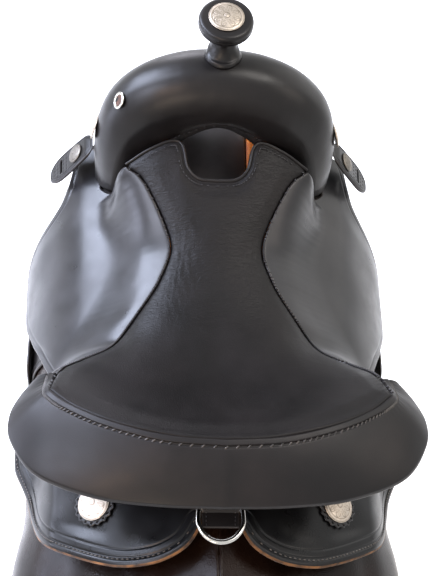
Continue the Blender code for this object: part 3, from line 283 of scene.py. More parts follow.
def evenly(points, count, closed=False):
    """Points spread evenly by length along a dense polyline."""
    points = np.asarray(points, float)
    if closed:
        points = np.concatenate([points, points[:1]])
    steps = np.linalg.norm(np.diff(points, axis=0), axis=1)
    length = np.concatenate([[0], np.cumsum(steps)])
    at = np.linspace(0, length[-1], count + 1)[:-1] if closed else np.linspace(0, length[-1],
                                                                              count)
    return np.stack([np.interp(at, length, column) for column in points.T], -1)


def ramp(value, low, high):
    """Soft step: t * t * (3 - 2 t), from 0 at low to 1 at high."""
    t = np.clip((np.asarray(value, float) - low) / (high - low), 0, 1)
    return t * t * (3 - 2 * t)


def bell(value, centre, width):
    """Gaussian bump of height 1."""
    return np.exp(-((value - centre) / width) ** 2)


def laid_flat(s, y):
    """Flat s and y as points whose third coordinate is 0, for the random waves."""
    return np.stack([s, y, 0 * s], -1)


def unit(vectors):
    """Vectors brought to length 1."""
    return vectors / np.maximum(np.linalg.norm(vectors, axis=-1, keepdims=True), 1e-12)


# %% [markdown]
# ## From arrays to pieces
# A surface is an array of points with rows and columns.  `quads` gives the faces of such a grid.
# `add_piece` writes points and faces into a mesh in one go, merges points that fall together at
# poles and seams, turns all faces outward, and ties the piece to the body that it moves with.


# %% Mesh helpers
def quads(index, wrap_rows=False, wrap_cols=False):
    """Faces of a grid of vertex numbers; a wrapped side is joined to the one opposite."""
    if wrap_rows:
        index = np.concatenate([index, index[:1]])
    if wrap_cols:
        index = np.concatenate([index, index[:, :1]], axis=1)
    faces = np.stack([index[:-1, :-1], index[:-1, 1:], index[1:, 1:], index[1:, :-1]], -1)
    return faces.reshape(-1, 4)


def add_piece(name, points, faces, finish, body="saddle", slot=None, instead_of=(),
              finish_of_face=None, merge=2e-6, cut=None, walls=False):
    """Makes a mesh object from arrays of points and of four-cornered faces."""
    mesh = bpy.data.meshes.new(name)
    points = np.asarray(points, np.float32).reshape(-1, 3)
    faces = np.asarray(faces, np.int32)
    mesh.vertices.add(len(points))
    mesh.vertices.foreach_set("co", points.ravel())
    mesh.loops.add(faces.size)
    mesh.loops.foreach_set("vertex_index", faces.ravel())
    mesh.polygons.add(len(faces))
    mesh.polygons.foreach_set("loop_start", np.arange(0, faces.size, 4, dtype=np.int32))
    finishes = finish if isinstance(finish, (list, tuple)) else [finish]
    for material in finishes:
        mesh.materials.append(material)
    if finish_of_face is not None:
        mesh.polygons.foreach_set("material_index", np.asarray(finish_of_face, np.int32))
    if cut is not None:
        mesh.attributes.new("cut", "FLOAT", "POINT").data.foreach_set(
            "value", np.asarray(cut, np.float32).ravel())
    mesh.update()
    work = bmesh.new()
    work.from_mesh(mesh)
    if merge:
        bmesh.ops.remove_doubles(work, verts=work.verts, dist=merge)
    if walls:
        bmesh.ops.bridge_loops(work, edges=[e for e in work.edges if e.is_boundary])
    bmesh.ops.recalc_face_normals(work, faces=work.faces)
    work.to_mesh(mesh)
    work.free()
    mesh.shade_smooth()
    piece = bpy.data.objects.new(name, mesh)
    bpy.context.scene.collection.objects.link(piece)
    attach(piece, body)
    if instead_of:
        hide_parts(*instead_of)
    return piece


# %% [markdown]
# Two kinds of piece come up again and again.  A loft is a skin over rings, closed at both ends.
# A sheet is a piece of leather: an upper and a lower face, and an edge rounded between them.


# %% Lofts and sheets
def add_loft(name, rings, finish, caps=True, around=True, **where):
    """A skin over rings of points; a cap is a ring drawn together at its centre."""
    rings = np.asarray(rings, float)
    if caps:
        ends = [np.repeat(r.mean(0, keepdims=True), len(r), 0)[None] for r in
                (rings[0], rings[-1])]
        rings = np.concatenate([ends[0], rings, ends[1]])
    index = np.arange(rings.shape[0] * rings.shape[1]).reshape(rings.shape[:2])
    return add_piece(name, rings, quads(index, wrap_rows=not caps, wrap_cols=around), finish,
                     **where)


def border(rows, cols):
    """Row and column numbers round the edge of a grid."""
    j = np.concatenate([np.zeros(cols - 1), np.arange(rows - 1), np.full(cols - 1, rows - 1),
                        np.arange(rows - 1, 0, -1)])
    i = np.concatenate([np.arange(cols - 1), np.full(rows - 1, cols - 1),
                        np.arange(cols - 1, 0, -1), np.zeros(rows - 1)])
    return j.astype(int), i.astype(int)


def add_sheet(name, top, low, finish, edge_finish=None, back_finish=None, rounding=5,
              inner=None, **where):
    """Leather sheet: an upper and a lower grid, joined by an edge rounded to half a circle.

    At angle a the edge point is the middle of the edge, plus half the thickness times sin a,
    plus as much outward times cos a.  Faces whose corners are all marked inner are left out.
    """
    rows, cols, _ = top.shape
    j, i = border(rows, cols)
    upper, lower = top[j, i], low[j, i]
    middle, half = (upper + lower) / 2, (upper - lower) / 2
    ahead = np.roll(middle, -1, 0) - np.roll(middle, 1, 0)
    out = unit(np.cross(ahead, half))
    inward = top[np.clip(j, 1, rows - 2), np.clip(i, 1, cols - 2)] - upper
    out *= -np.sign(np.sum(out * inward))
    thick = np.linalg.norm(half, axis=1)[:, None]
    angles = np.linspace(math.pi / 2, -math.pi / 2, rounding + 2)[1:-1]
    rim = np.stack([middle + half * math.sin(a) + out * thick * math.cos(a) for a in angles])
    grid = np.arange(rows * cols).reshape(rows, cols)
    shift = rows * cols
    ring = np.arange(rim.shape[0] * rim.shape[1]).reshape(rim.shape[:2]) + 2 * shift
    belt = np.concatenate([grid[j, i][None], ring, (grid + shift)[j, i][None]])
    parts = [quads(grid), quads(belt, wrap_cols=True), quads(grid + shift)[:, ::-1]]
    finishes = [finish, edge_finish or finish, back_finish or finish]
    if inner is not None:
        kept = ~inner.ravel()[parts[0]].all(1)
        parts = [parts[0][kept], parts[1], parts[2][kept]]
    which = np.concatenate([np.full(len(part), k) for k, part in enumerate(parts)])
    points = np.concatenate([top.reshape(-1, 3), low.reshape(-1, 3), rim.reshape(-1, 3)])
    return add_piece(name, points, np.concatenate(parts), finishes, finish_of_face=which,
                     walls=inner is not None, **where)


# %% [markdown]
# ## The horse's barrel
# Skirts, jockeys and straps all lie on the same rounded back.  We measure along it: `s` runs out
# and down from the gullet, `y` runs forward, and `n` is the height above it.  The slope of the
# back is given at a few places and summed up to x and z.

# %% Barrel coordinates
GULLET_HALF = 0.035
RIM_RISE = 0.010
REAR_FLARE = 0.010
FRONT_DRAW = 0.015
SLOPE = ((0.0, 20), (0.06, 28), (0.12, 38), (0.165, 52), (0.205, 74), (0.235, 88), (0.26, 90),
         (0.60, 90))
STEP = 0.0005

s_fine = np.arange(-0.06, 0.60, STEP)
slope_fine = np.radians(np.interp(s_fine, *zip(*SLOPE)))
x_fine = np.concatenate([[0], np.cumsum(np.cos(slope_fine[:-1]) * STEP)])
z_fine = -np.concatenate([[0], np.cumsum(np.sin(slope_fine[:-1]) * STEP)])
start = int(np.argmin(abs(s_fine)))
x_fine += GULLET_HALF - x_fine[start]
z_fine -= z_fine[start]


def barrel(s, y, n, side=1.0):
    """World points: the back at s, then n along its outward direction (sin, cos) of slope."""
    s, y, n = np.broadcast_arrays(np.asarray(s, float), y, n)
    slope = np.interp(s, s_fine, slope_fine)
    flare = REAR_FLARE * ramp(y, -0.19, -0.27) * ramp(s, 0.13, 0.22)
    drawn = FRONT_DRAW * ramp(y, 0.10, 0.24) * ramp(s, 0.13, 0.22)
    x = np.interp(s, s_fine, x_fine) + n * np.sin(slope) + flare - drawn
    z = np.interp(s, s_fine, z_fine) + n * np.cos(slope) + RIM_RISE * (y / 0.33) ** 2
    return np.stack([side * x, y + 0 * x, z], -1)


def barrel_place(points):
    """s and n of world points on the right side, by the nearest line square to the back."""
    x, y, z = points[:, 0], points[:, 1], points[:, 2] - RIM_RISE * (points[:, 1] / 0.33) ** 2
    lean = (x[:, None] - x_fine) * np.cos(slope_fine) - (z[:, None] - z_fine) * np.sin(slope_fine)
    best = np.argmin(abs(lean), axis=1)
    n = (x - x_fine[best]) * np.sin(slope_fine[best]) + (z - z_fine[best]) * np.cos(
        slope_fine[best])
    return s_fine[best], n


def open_distance(points, line):
    """Distance of flat points from a line of points, in blocks to spare memory."""
    flat = points.reshape(-1, 2)
    blocks = [np.sqrt(((block[:, None] - line) ** 2).sum(-1).min(1))
              for block in np.array_split(flat, max(1, len(flat) // 4000))]
    return np.concatenate(blocks).reshape(points.shape[:-1])


def edge_distance(points, outline):
    """Distance of flat points from a closed outline."""
    return open_distance(points, evenly(outline, 700, closed=True))


def ruled(edge_a, edge_b, cols, rows):
    """Flat grid of straight lines from edge a to edge b, both spread evenly by length."""
    a, b = evenly(edge_a, cols), evenly(edge_b, cols)
    t = np.linspace(0, 1, rows)[:, None, None]
    return a * (1 - t) + b * t


# %% [markdown]
# ## Layer heights
# The layers lie on each other with a hair of air between them: fleece, skirt, tree bar, jockey.

# %% Layer heights
GAP = 0.0004
WOOL_THICK = 0.012
SKIRT_THICK = 0.0046
BAR_THICK = 0.021
STRAP_THICK = 0.0032
JOCKEY_THICK = 0.0038
FENDER_THICK = 0.0035
COVER_THICK = 0.0030
BAR_LOW = SKIRT_THICK + GAP * 1.5
BAR_TOP = BAR_LOW + BAR_THICK
STRAP_LOW = SKIRT_THICK + GAP
STRAP_TOP = STRAP_LOW + STRAP_THICK
JOCKEY_LOW = BAR_TOP + GAP
SIDES = (("left", -1.0), ("right", 1.0))


def bar_top_height(x, y):
    """World height of the bars' upper side; over the gullet it stays level."""
    top_x = x_fine + BAR_TOP * np.sin(slope_fine)
    top_z = z_fine + BAR_TOP * np.cos(slope_fine)
    reach = np.maximum(abs(x), GULLET_HALF + 0.010)
    return np.interp(reach, top_x, top_z) + RIM_RISE * (y / 0.33) ** 2


def waves(points, size, seed, count=14):
    """Smooth random field near -1..1: plane waves of about one length in random directions."""
    dice = np.random.default_rng(seed)
    ways = unit(dice.normal(size=(count, 3))) * dice.uniform(0.7, 1.4, (count, 1))
    phase = dice.uniform(0, 2 * math.pi, count)
    return np.sin(points @ ways.T * (2 * math.pi / size) + phase).sum(-1) / math.sqrt(count)


# %% [markdown]
# ## Sheets, rolls and stitches
# Three more builders.  A sheet on the barrel is ruled between two edges and may carry relief
# that follows its outline, such as a pressed border.  A sweep drags an ellipse along a path.  A
# row of stitches repeats one small bead of thread along a path.


# %% Sheets, sweeps and stitches
def cut_slot(flat, s, y, long, wide):
    """Moves the grid points inside a slot out to its rim and says which ones they were."""
    middle = np.stack([np.full_like(flat[..., 0], s),
                       np.clip(flat[..., 1], y - (long - wide) / 2, y + (long - wide) / 2)], -1)
    away = flat - middle
    reach = np.linalg.norm(away, axis=-1)
    inner = reach < wide / 2
    flat[inner] = (middle + away / np.maximum(reach, 1e-9)[..., None] * wide / 2)[inner]
    return inner


def barrel_piece(name, side, edge_a, edge_b, low, thick, finish, size=(200, 50), relief=None,
                 hole=None, **where):
    """Ruled sheet: low(s, y) is its under side's height, relief(d, s, y) is added on top."""
    flat = ruled(edge_a, edge_b, *size)
    if hole:
        where["inner"] = cut_slot(flat, *hole)
    s, y = flat[..., 0], flat[..., 1]
    under = low(s, y)
    top = under + thick
    if relief:
        top = top + relief(edge_distance(flat, np.concatenate([edge_a, edge_b[::-1]])), s, y)
    return add_sheet(name, barrel(s, y, top, side), barrel(s, y, under, side), finish, **where)


def sweep(path, ups, half_wide, half_high, around=14, closed=False):
    """Rings of an ellipse round a path; its high axis leans towards ups."""
    if closed:
        ahead = unit(np.roll(path, -1, 0) - np.roll(path, 1, 0))
    else:
        ahead = unit(np.gradient(path, axis=0))
    aside = unit(np.cross(ahead, ups))
    up = np.cross(aside, ahead)
    turn = np.linspace(0, 2 * math.pi, around, endpoint=False)[:, None]
    wide, high = (np.broadcast_to(v, len(path))[:, None, None] for v in (half_wide, half_high))
    return path[:, None] + aside[:, None] * np.cos(turn) * wide + up[:, None] * np.sin(turn) * high


def turned(centre, up, radii, heights, around):
    """Points of a round body: rows of radii and heights, turned about the up direction."""
    up = unit(np.asarray(up, float))
    one = unit(np.cross(up, (0.3, 1.0, 0.1)))
    two = np.cross(up, one)
    turn = np.linspace(0, 2 * math.pi, around, endpoint=False)
    spokes = np.cos(turn)[:, None] * one + np.sin(turn)[:, None] * two
    radii = np.broadcast_to(np.asarray(radii, float).reshape(len(radii), -1),
                            (len(radii), around))
    heights = np.broadcast_to(np.asarray(heights, float).reshape(len(heights), -1),
                              (len(heights), around))
    return np.asarray(centre) + radii[..., None] * spokes + heights[..., None] * up


def add_turned(name, centre, up, radii, heights, finish, around=64, cut=None, **where):
    """Round body from turned rows; the first and last row shrink to the axis."""
    points = turned(centre, up, radii, heights, around)
    index = np.arange(points.shape[0] * around).reshape(-1, around)
    return add_piece(name, points, quads(index, wrap_cols=True), finish, cut=cut, **where)


def add_stitches(name, path, ups, finish, pitch=0.0040, long=0.0030, wide=0.0010,
                 proud=0.0005, turn=0.0, **where):
    """A row of thread beads: capsules of the given length, one every pitch along the path."""
    length = np.linalg.norm(np.diff(path, axis=0), axis=1).sum()
    both = evenly(np.concatenate([path, ups], axis=1), max(int(length / pitch), 2))
    place, up = both[:, :3], unit(both[:, 3:])
    ahead = unit(np.gradient(place, axis=0))
    aside = unit(np.cross(up, ahead))
    ahead = ahead * math.cos(turn) + aside * math.sin(turn)
    aside = unit(np.cross(up, ahead))
    along = np.linspace(-1, 1, 7)
    round_off = np.sqrt(1 - np.abs(along) ** 3)
    turns = np.linspace(0, 2 * math.pi, 6, endpoint=False)
    bead = (place[:, None, None] + ahead[:, None, None] * (along * long / 2)[:, None, None]
            + aside[:, None, None] * (round_off[:, None] * np.cos(turns) * wide / 2)[..., None]
            + up[:, None, None] * (round_off[:, None] * np.sin(turns) * proud)[..., None])
    one = quads(np.arange(42).reshape(7, 6), wrap_cols=True)
    faces = (one[None] + (np.arange(len(place)) * 42)[:, None, None]).reshape(-1, 4)
    return add_piece(name, bead, faces, finish, merge=1e-7, **where)


def spread(knots, count=160):
    """Catmull-Rom through knots, then spread evenly by length."""
    return evenly(spline(knots, count * 4), count)


print("builders ready")

# %% [markdown]
# ## Skirts
# The skirts are the largest pieces of leather, oiled almost black-brown, about 4.6 mm thick.
# Their pebble grain is coarse and sparkles.  Each one is ruled from its gullet edge to its outer
# edge, and a slot behind takes the rear billet.  Points inside the slot move to its rim and the
# faces within are left out, so the slot is a real hole.

# %% Skirts
SKIRT_INNER = [(0.030, 0.2618), (0.006, 0.253), (0.003, 0.160), (0.003, 0.0), (0.003, -0.160),
               (-0.020, -0.222), (-0.036, -0.240), (-0.036, -0.270), (-0.036, -0.300),
               (-0.030, -0.318)]
SKIRT_OUTER = [(0.045, 0.260), (0.072, 0.254), (0.122, 0.228), (0.165, 0.186), (0.200, 0.150),
               (0.237, 0.130), (0.270, 0.100), (0.292, 0.055), (0.300, 0.000),
               (0.308, -0.080), (0.315, -0.160), (0.300, -0.225), (0.262, -0.282),
               (0.205, -0.318), (0.140, -0.333), (0.030, -0.329), (-0.020, -0.3235)]
RIG_SLOT = (0.236, -0.270, 0.050, 0.010)    # middle s and y, length and width of the slot

skirt_inner = spread(SKIRT_INNER)
skirt_outer = spread(SKIRT_OUTER, 240)
skirt_ring = np.concatenate([skirt_inner, skirt_outer[::-1]])


def skirt_relief(_, s, y):
    """A rubbed channel 9 mm in from the outer edge, a soft rim, and the hide's waviness."""
    points = laid_flat(s, y)
    d = open_distance(points[..., :2], skirt_outer)
    return (0.0003 * waves(points, 0.045, 3) * ramp(d, 0.004, 0.02)
            - 0.0007 * bell(d, 0.0095, 0.0012) - 0.0006 * (1 - ramp(d, 0.0, 0.003)))


for word, side in SIDES:
    barrel_piece("skirt_leather_" + word, side, skirt_inner, skirt_outer,
                 lambda s, y: 0 * s, SKIRT_THICK, skirt_leather, size=(286, 98),
                 relief=skirt_relief, hole=RIG_SLOT, edge_finish=skirt_leather,
                 back_finish=suede, slot="skirt_leather", instead_of=["skirt_" + word])
print("skirts: ring of", len(skirt_ring), "points")

# %% [markdown]
# ## Sheepskin lining
# The under side of the skirts is lined with shorn sheepskin, 12 mm thick.  Wool is a soft mass of
# locks, so its surface is pushed in and out by random waves in two sizes, and the material adds
# the fibres.

# %% Sheepskin
wool_inner = spread([(s + 0.0065 * (1 if s > -0.1 else 0), y) for s, y in
                     [(0.032, 0.2545), (0.006, 0.246), (0.003, 0.160), (0.003, 0.0),
                      (0.003, -0.160), (-0.020, -0.222), (-0.034, -0.240), (-0.035, -0.270),
                      (-0.034, -0.300), (-0.028, -0.312)]])
wool_outer = spread([(s - 0.0055, y * 0.982) for s, y in SKIRT_OUTER], 240)


def wool_low(s, y):
    """Under side of the wool: locks about 9 mm and 4 mm across."""
    points = laid_flat(s, y)
    return (-WOOL_THICK - GAP + 0.0012 + 0.0009 * waves(points, 0.011, 11)
            + 0.0005 * waves(points, 0.005, 12))


for word, side in SIDES:
    flat = ruled(wool_inner, wool_outer, 270, 136)
    s, y = flat[..., 0], flat[..., 1]
    shaggy = edge_distance(flat, np.concatenate([wool_inner, wool_outer[::-1]]))
    under = wool_low(s, y) + 0.004 * (1 - ramp(shaggy, 0.0, 0.006))
    over = np.full_like(s, -GAP)
    add_sheet("sheepskin_" + word, barrel(s, y, over, side), barrel(s, y, under, side),
              fleece, slot="fleece", instead_of=["woolskin_" + word])
print("sheepskin made")

# %% [markdown]
# ## Seat
# The seat is black cowhide over foam.  Nine rows of points, from the centre line out to the side
# seam, were fitted to the photograph.  A spline both ways turns them into a smooth grid, which
# is mirrored about the centre plane.

# %% Seat surface
SEAT_ROWS = np.array([
    [(0.000, 0.1085, 0.0722), (0.0215, 0.1105, 0.0732), (0.0350, 0.1230, 0.0780),
     (0.0435, 0.1485, 0.0860), (0.070, 0.1425, 0.0800), (0.097, 0.1310, 0.0650)],
    [(0.000, 0.092, 0.0665), (0.019, 0.093, 0.0668), (0.035, 0.097, 0.0680),
     (0.048, 0.103, 0.0682), (0.063, 0.108, 0.0670), (0.076, 0.110, 0.0635)],
    [(0.000, 0.050, 0.0545), (0.012, 0.050, 0.0543), (0.023, 0.050, 0.0537),
     (0.033, 0.051, 0.0525), (0.042, 0.051, 0.0503), (0.050, 0.052, 0.0470)],
    [(0.000, 0.005, 0.0465), (0.013, 0.005, 0.0464), (0.026, 0.006, 0.0458),
     (0.038, 0.008, 0.0446), (0.049, 0.010, 0.0422), (0.058, 0.013, 0.0380)],
    [(0.000, -0.040, 0.0440), (0.020, -0.040, 0.0440), (0.038, -0.038, 0.0433),
     (0.056, -0.035, 0.0410), (0.072, -0.031, 0.0350), (0.083, -0.027, 0.0260)],
    [(0.000, -0.090, 0.0530), (0.027, -0.088, 0.0530), (0.052, -0.083, 0.0510),
     (0.076, -0.075, 0.0450), (0.094, -0.065, 0.0320), (0.106, -0.056, 0.0160)],
    [(0.000, -0.130, 0.0710), (0.032, -0.128, 0.0708), (0.062, -0.120, 0.0680),
     (0.091, -0.107, 0.0610), (0.116, -0.091, 0.0480), (0.134, -0.079, 0.0320)],
    [(0.000, -0.165, 0.0970), (0.034, -0.163, 0.0963), (0.068, -0.154, 0.0925),
     (0.101, -0.138, 0.0850), (0.131, -0.119, 0.0740), (0.153, -0.104, 0.0640)],
    [(0.000, -0.193, 0.1240), (0.036, -0.191, 0.1225), (0.073, -0.183, 0.1185),
     (0.108, -0.171, 0.1115), (0.139, -0.154, 0.1015), (0.161, -0.134, 0.0910)]])
FOAM_LOW = 0.0114                           # depth of the foam's under side


def seat_surface(rows, half_cols):
    """Splines along the nine rows and then along the columns, mirrored to the left."""
    across = spline(np.swapaxes(SEAT_ROWS, 0, 1), half_cols)
    grid = spline(np.swapaxes(across, 0, 1), rows)
    grid[:, 0, 0] = 0.0
    return np.concatenate([grid[:, :0:-1] * (-1, 1, 1), grid], axis=1)


def grid_up(grid):
    """Upward unit normals of a grid, from its two gradients."""
    normal = unit(np.cross(np.gradient(grid, axis=1), np.gradient(grid, axis=0)))
    return normal * np.sign(normal[..., 2:3])


def from_edges(grid):
    """Distance along the grid from its sides, its front row and its last row."""
    across = np.linalg.norm(np.diff(grid, axis=1), axis=2).cumsum(axis=1)
    across = np.concatenate([0 * across[:, :1], across], axis=1)
    along = np.linalg.norm(np.diff(grid, axis=0), axis=2).cumsum(axis=0)
    along = np.concatenate([0 * along[:1], along])
    return np.minimum(across, across[:, -1:] - across), along, along[-1:] - along


seat_base = seat_surface(241, 91)
seat_up = grid_up(seat_base)
seam = seat_surface(241, 3)[:, -1]
print("seat from", np.round(seat_base[..., 1].max(), 3), "to", seat_base[..., 1].min())

# %% [markdown]
# ## Padding
# Foam pushes the leather up everywhere but at its seams.  A cloth simulation does the same: a
# coarse copy of the seat is held at its edges and blown up from inside.  What we keep is how far
# each point rose.  The foam is firm and evens out small buckles, so we smooth the rise, and then
# the fine grid is lifted by it.

# %% Padding by cloth simulation
PAD_PRESSURE = 12.0
PAD_CAP = 0.0042                            # the leather rises by no more than this
SMOOTHING_PASSES = 30

def blown_up(top, low, pressure, cap):
    """Rise of a coarse top grid under pressure: closed with its low grid, edges held still.

    The rise is smoothed by the weights 1, 2, 1 along rows and columns, many times over.
    """
    rows, cols, _ = top.shape
    grid = np.arange(rows * cols).reshape(rows, cols)
    shift = rows * cols
    j, i = border(rows, cols)
    belt = np.stack([grid[j, i], grid[j, i] + shift])
    faces = np.concatenate([quads(grid), quads(grid + shift)[:, ::-1],
                            quads(belt, wrap_cols=True)])
    mesh = bpy.data.meshes.new("pad")
    mesh.from_pydata(np.concatenate([top.reshape(-1, 3), low.reshape(-1, 3)]).tolist(), [],
                     faces.tolist())
    pad = bpy.data.objects.new("pad", mesh)
    bpy.context.scene.collection.objects.link(pad)
    work = bmesh.new()
    work.from_mesh(mesh)
    bmesh.ops.recalc_face_normals(work, faces=work.faces)
    work.to_mesh(mesh)
    work.free()
    held = pad.vertex_groups.new(name="held")
    held.add(np.concatenate([grid[j, i], np.arange(shift, 2 * shift)]).tolist(), 1.0, "ADD")
    cloth = pad.modifiers.new("cloth", "CLOTH")
    cloth.settings.vertex_group_mass = "held"
    cloth.settings.use_pressure = True
    cloth.settings.uniform_pressure_force = pressure
    cloth.settings.shrink_min = -0.03
    cloth.settings.quality = 6
    cloth.settings.effector_weights.gravity = 0.0
    cloth.point_cache.frame_end = 20
    scene = bpy.context.scene
    for frame_number in range(1, 21):
        scene.frame_set(frame_number)
    done = pad.evaluated_get(bpy.context.evaluated_depsgraph_get())
    places = np.empty(len(done.data.vertices) * 3, np.float32)
    done.data.vertices.foreach_get("co", places)
    scene.frame_set(1)
    bpy.data.objects.remove(pad, do_unlink=True)
    moved = places.reshape(-1, 3)[:shift].reshape(top.shape) - top
    swollen = np.clip((moved * grid_up(top)).sum(-1), 0.0, cap)
    for _ in range(SMOOTHING_PASSES):
        swollen = np.pad(swollen, 1, mode="edge")
        swollen = (swollen[:-2] + 2 * swollen[1:-1] + swollen[2:]) / 4
        swollen = (swollen[:, :-2] + 2 * swollen[:, 1:-1] + swollen[:, 2:]) / 4
    return swollen


coarse = seat_surface(61, 26)
coarse_up = grid_up(coarse)
sides, front, back = from_edges(coarse)
inside = ramp(np.minimum(np.minimum(sides, front), back), 0.0, 0.020)
rise = blown_up(coarse, coarse - coarse_up * FOAM_LOW, PAD_PRESSURE, PAD_CAP) * inside
lift = spline(np.swapaxes(spline(rise[..., None], 241), 0, 1), 181)
lift = np.swapaxes(lift, 0, 1)[..., 0]
print("padding rises by", round(float(rise.min()) * 1000, 1), "to",
      round(float(rise.max()) * 1000, 1), "mm")

# %% [markdown]
# ## Seat leather
# At the side seams the leather rolls down into the seam and is gathered by the thread, which
# gives short ripples square to it.  Where the rider's legs bend the waist, fine creases run
# along it.  The front edge is bound, so the leather ends in a soft round.

# %% Seat leather
sides, front, back = from_edges(seat_base)
roll_down = 0.0030 * (1 - np.sqrt(1 - (1 - np.clip(sides / 0.0070, 0, 1)) ** 2))
gather_at = np.cumsum(np.linalg.norm(np.gradient(seam, axis=0), axis=1))
gathers = 0.00014 * np.sin(gather_at / 0.0062 * 2 * math.pi)[:, None] * bell(sides, 0.006, 0.004)
waist = bell(seat_base[..., 1], 0.020, 0.050) * ramp(abs(seat_base[..., 0]), 0.012, 0.035)
creased = 0.00012 * waist * waves(seat_base * (1.0, 0.32, 1.0), 0.0065, 21)
hide = 0.0001 * waves(seat_base, 0.045, 22)
seat_top = seat_base + seat_up * (lift - roll_down + gathers + creased + hide
                                  - 0.0012 * (1 - ramp(front, 0.0, 0.004)))[..., None]
seat_depth = COVER_THICK + (FOAM_LOW - COVER_THICK) * ramp(
    np.minimum(np.minimum(sides, front), back), 0.002, 0.012)
seat_low = seat_base - seat_up * (seat_depth + 0.0012)[..., None]
seat_piece = add_sheet("padded_seat", seat_top, seat_low, seat_leather, slot="seat_leather",
                       instead_of=["seat_cover", "seat_foam"])

for word, side in SIDES:
    line = seam * (side, 1, 1)
    low_line = line + (side * 0.0010, 0, 0) - seat_up[:, -1] * (side, 1, 1) * 0.0004
    add_stitches("seat_seam_thread_" + word, low_line[6:], seat_up[6:, -1] * (side, 1, 1),
                 thread, pitch=0.0031, long=0.0036, wide=0.0013, proud=0.0012, turn=0.95)
print("seat:", len(seat_piece.data.polygons), "faces")

# %% [markdown]
# ## Cantle roll
# Behind the seat a firm roll of the same leather curls outward.  Its inner edge follows the
# seat's rear edge and its outer edge sweeps wide and low.  A raised band runs along the inner
# edge, with a row of laced stitches beside it.

# %% Cantle roll
ROLL_INNER = [(0.000, -0.193, 0.1240), (0.055, -0.188, 0.1210), (0.105, -0.172, 0.1120),
              (0.140, -0.153, 0.1010), (0.157, -0.139, 0.0935), (0.1598, -0.130, 0.0860),
              (0.1580, -0.121, 0.0765), (0.1560, -0.111, 0.0670)]
ROLL_OUTER = [(0.000, -0.252, 0.0940), (0.060, -0.2495, 0.0920), (0.118, -0.240, 0.0860),
              (0.172, -0.216, 0.0750), (0.198, -0.181, 0.0650), (0.202, -0.155, 0.0600),
              (0.193, -0.132, 0.0580), (0.177, -0.112, 0.0600)]
ROLL_THICK = 0.010
ROLL_GROOVE = 0.0020


def mirrored(half):
    """The right half and its mirror image as one strip from the left end to the right."""
    return np.concatenate([half[:0:-1] * (-1, 1, 1), half])


roll_a = mirrored(spline(ROLL_INNER, 121))
roll_b = mirrored(spline(ROLL_OUTER, 121))
roll_wide = np.linalg.norm(roll_b - roll_a, axis=1)
roll_along = (roll_b - roll_a) / roll_wide[:, None]
roll_up = unit(np.array([0, 0, 1]) - roll_along * roll_along[:, 2:])
roll_thick = ROLL_THICK * np.minimum(1, roll_wide / 0.03)
roll_a = roll_a + roll_along * ROLL_GROOVE
roll_wide = roll_wide - ROLL_GROOVE


def roll_point(u, h):
    """World points for distance u along the roll's width and height h above it."""
    return roll_a[:, None] + roll_along[:, None] * u[..., None] + roll_up[:, None] * h[..., None]


def roll_height(u):
    """Crown of the roll with the raised band, its gathers and the sewn channel beside it."""
    share = np.clip(u / roll_wide[:, None], 0, 1)
    scale = np.minimum(1, roll_wide / 0.03)[:, None]
    band = 0.0013 * (ramp(u, 0.0002, 0.0016) - ramp(u, 0.0056, 0.0070)) * scale
    channel = -0.0008 * bell(u, 0.0078, 0.0011) * scale
    ahead = np.cumsum(np.linalg.norm(np.gradient(roll_b, axis=0), axis=1))[:, None]
    ripple = 0.00008 * np.sin(ahead / 0.0085 * 2 * math.pi) * bell(u, 0.0125, 0.0040)
    return 0.0045 * np.sin(math.pi * share) ** 0.7 + band + channel + ripple


near = np.linspace(0, 0.014, 34) * np.minimum(1, roll_wide / 0.03)[:, None]
far = near[:, -1:] + (roll_wide[:, None] - roll_thick[:, None] * 0.30 - near[:, -1:]) * (
    np.linspace(0, 1, 31)[1:] ** 0.9)
u_top = np.concatenate([near, far], axis=1)
turns = np.radians(np.linspace(58, -92, 15))
u_edge = roll_wide[:, None] - roll_thick[:, None] * (0.5 - 0.5 * np.cos(turns))
h_edge = roll_thick[:, None] * (0.5 * np.sin(turns) - 0.42)
u_low = roll_wide[:, None] * np.linspace(0.85, 0.02, 12)
h_low = -roll_thick[:, None] * (0.25 + 0.60 * np.sin(np.linspace(1.35, 0.25, 12)))
roll_rings = np.concatenate([roll_point(u_top, roll_height(u_top)), roll_point(u_edge, h_edge),
                             roll_point(u_low, h_low)], axis=1)
roll_rings = roll_rings + roll_up[:, None] * (0.00010 * waves(roll_rings, 0.060, 31))[..., None]
add_loft("cantle_roll_leather", roll_rings, roll_leather, slot="seat_leather",
         instead_of=["cantle_roll"])

lace_at = np.full((len(roll_a), 1), 0.0078) * np.minimum(1, roll_wide / 0.03)[:, None]
add_stitches("roll_lacing", roll_point(lace_at, roll_height(lace_at))[6:-6, 0], roll_up[6:-6],
             lacing, pitch=0.0036, long=0.0056, wide=0.0021, proud=0.0014, turn=0.8)
print("roll sections:", len(roll_rings))

# %% [markdown]
# ## Swell
# The fork of the tree is covered in smooth leather, pulled wet over the swell and rubbed down.
# One section is carried along an arch from the middle to the foot.  Its inner half grows deeper
# on the way, so the legs of the fork close in round the handhole.

# %% Swell
SWELL_SECTION = np.array([
    (0.160, -0.025), (0.157, -0.013), (0.161, 0.003), (0.170, 0.020), (0.184, 0.032),
    (0.200, 0.035), (0.215, 0.031), (0.228, 0.021), (0.239, 0.006), (0.246, -0.010),
    (0.249, -0.026), (0.246, -0.034), (0.228, -0.031), (0.204, -0.030), (0.180, -0.031),
    (0.166, -0.031)])
SWELL_MIDDLE = 0.204
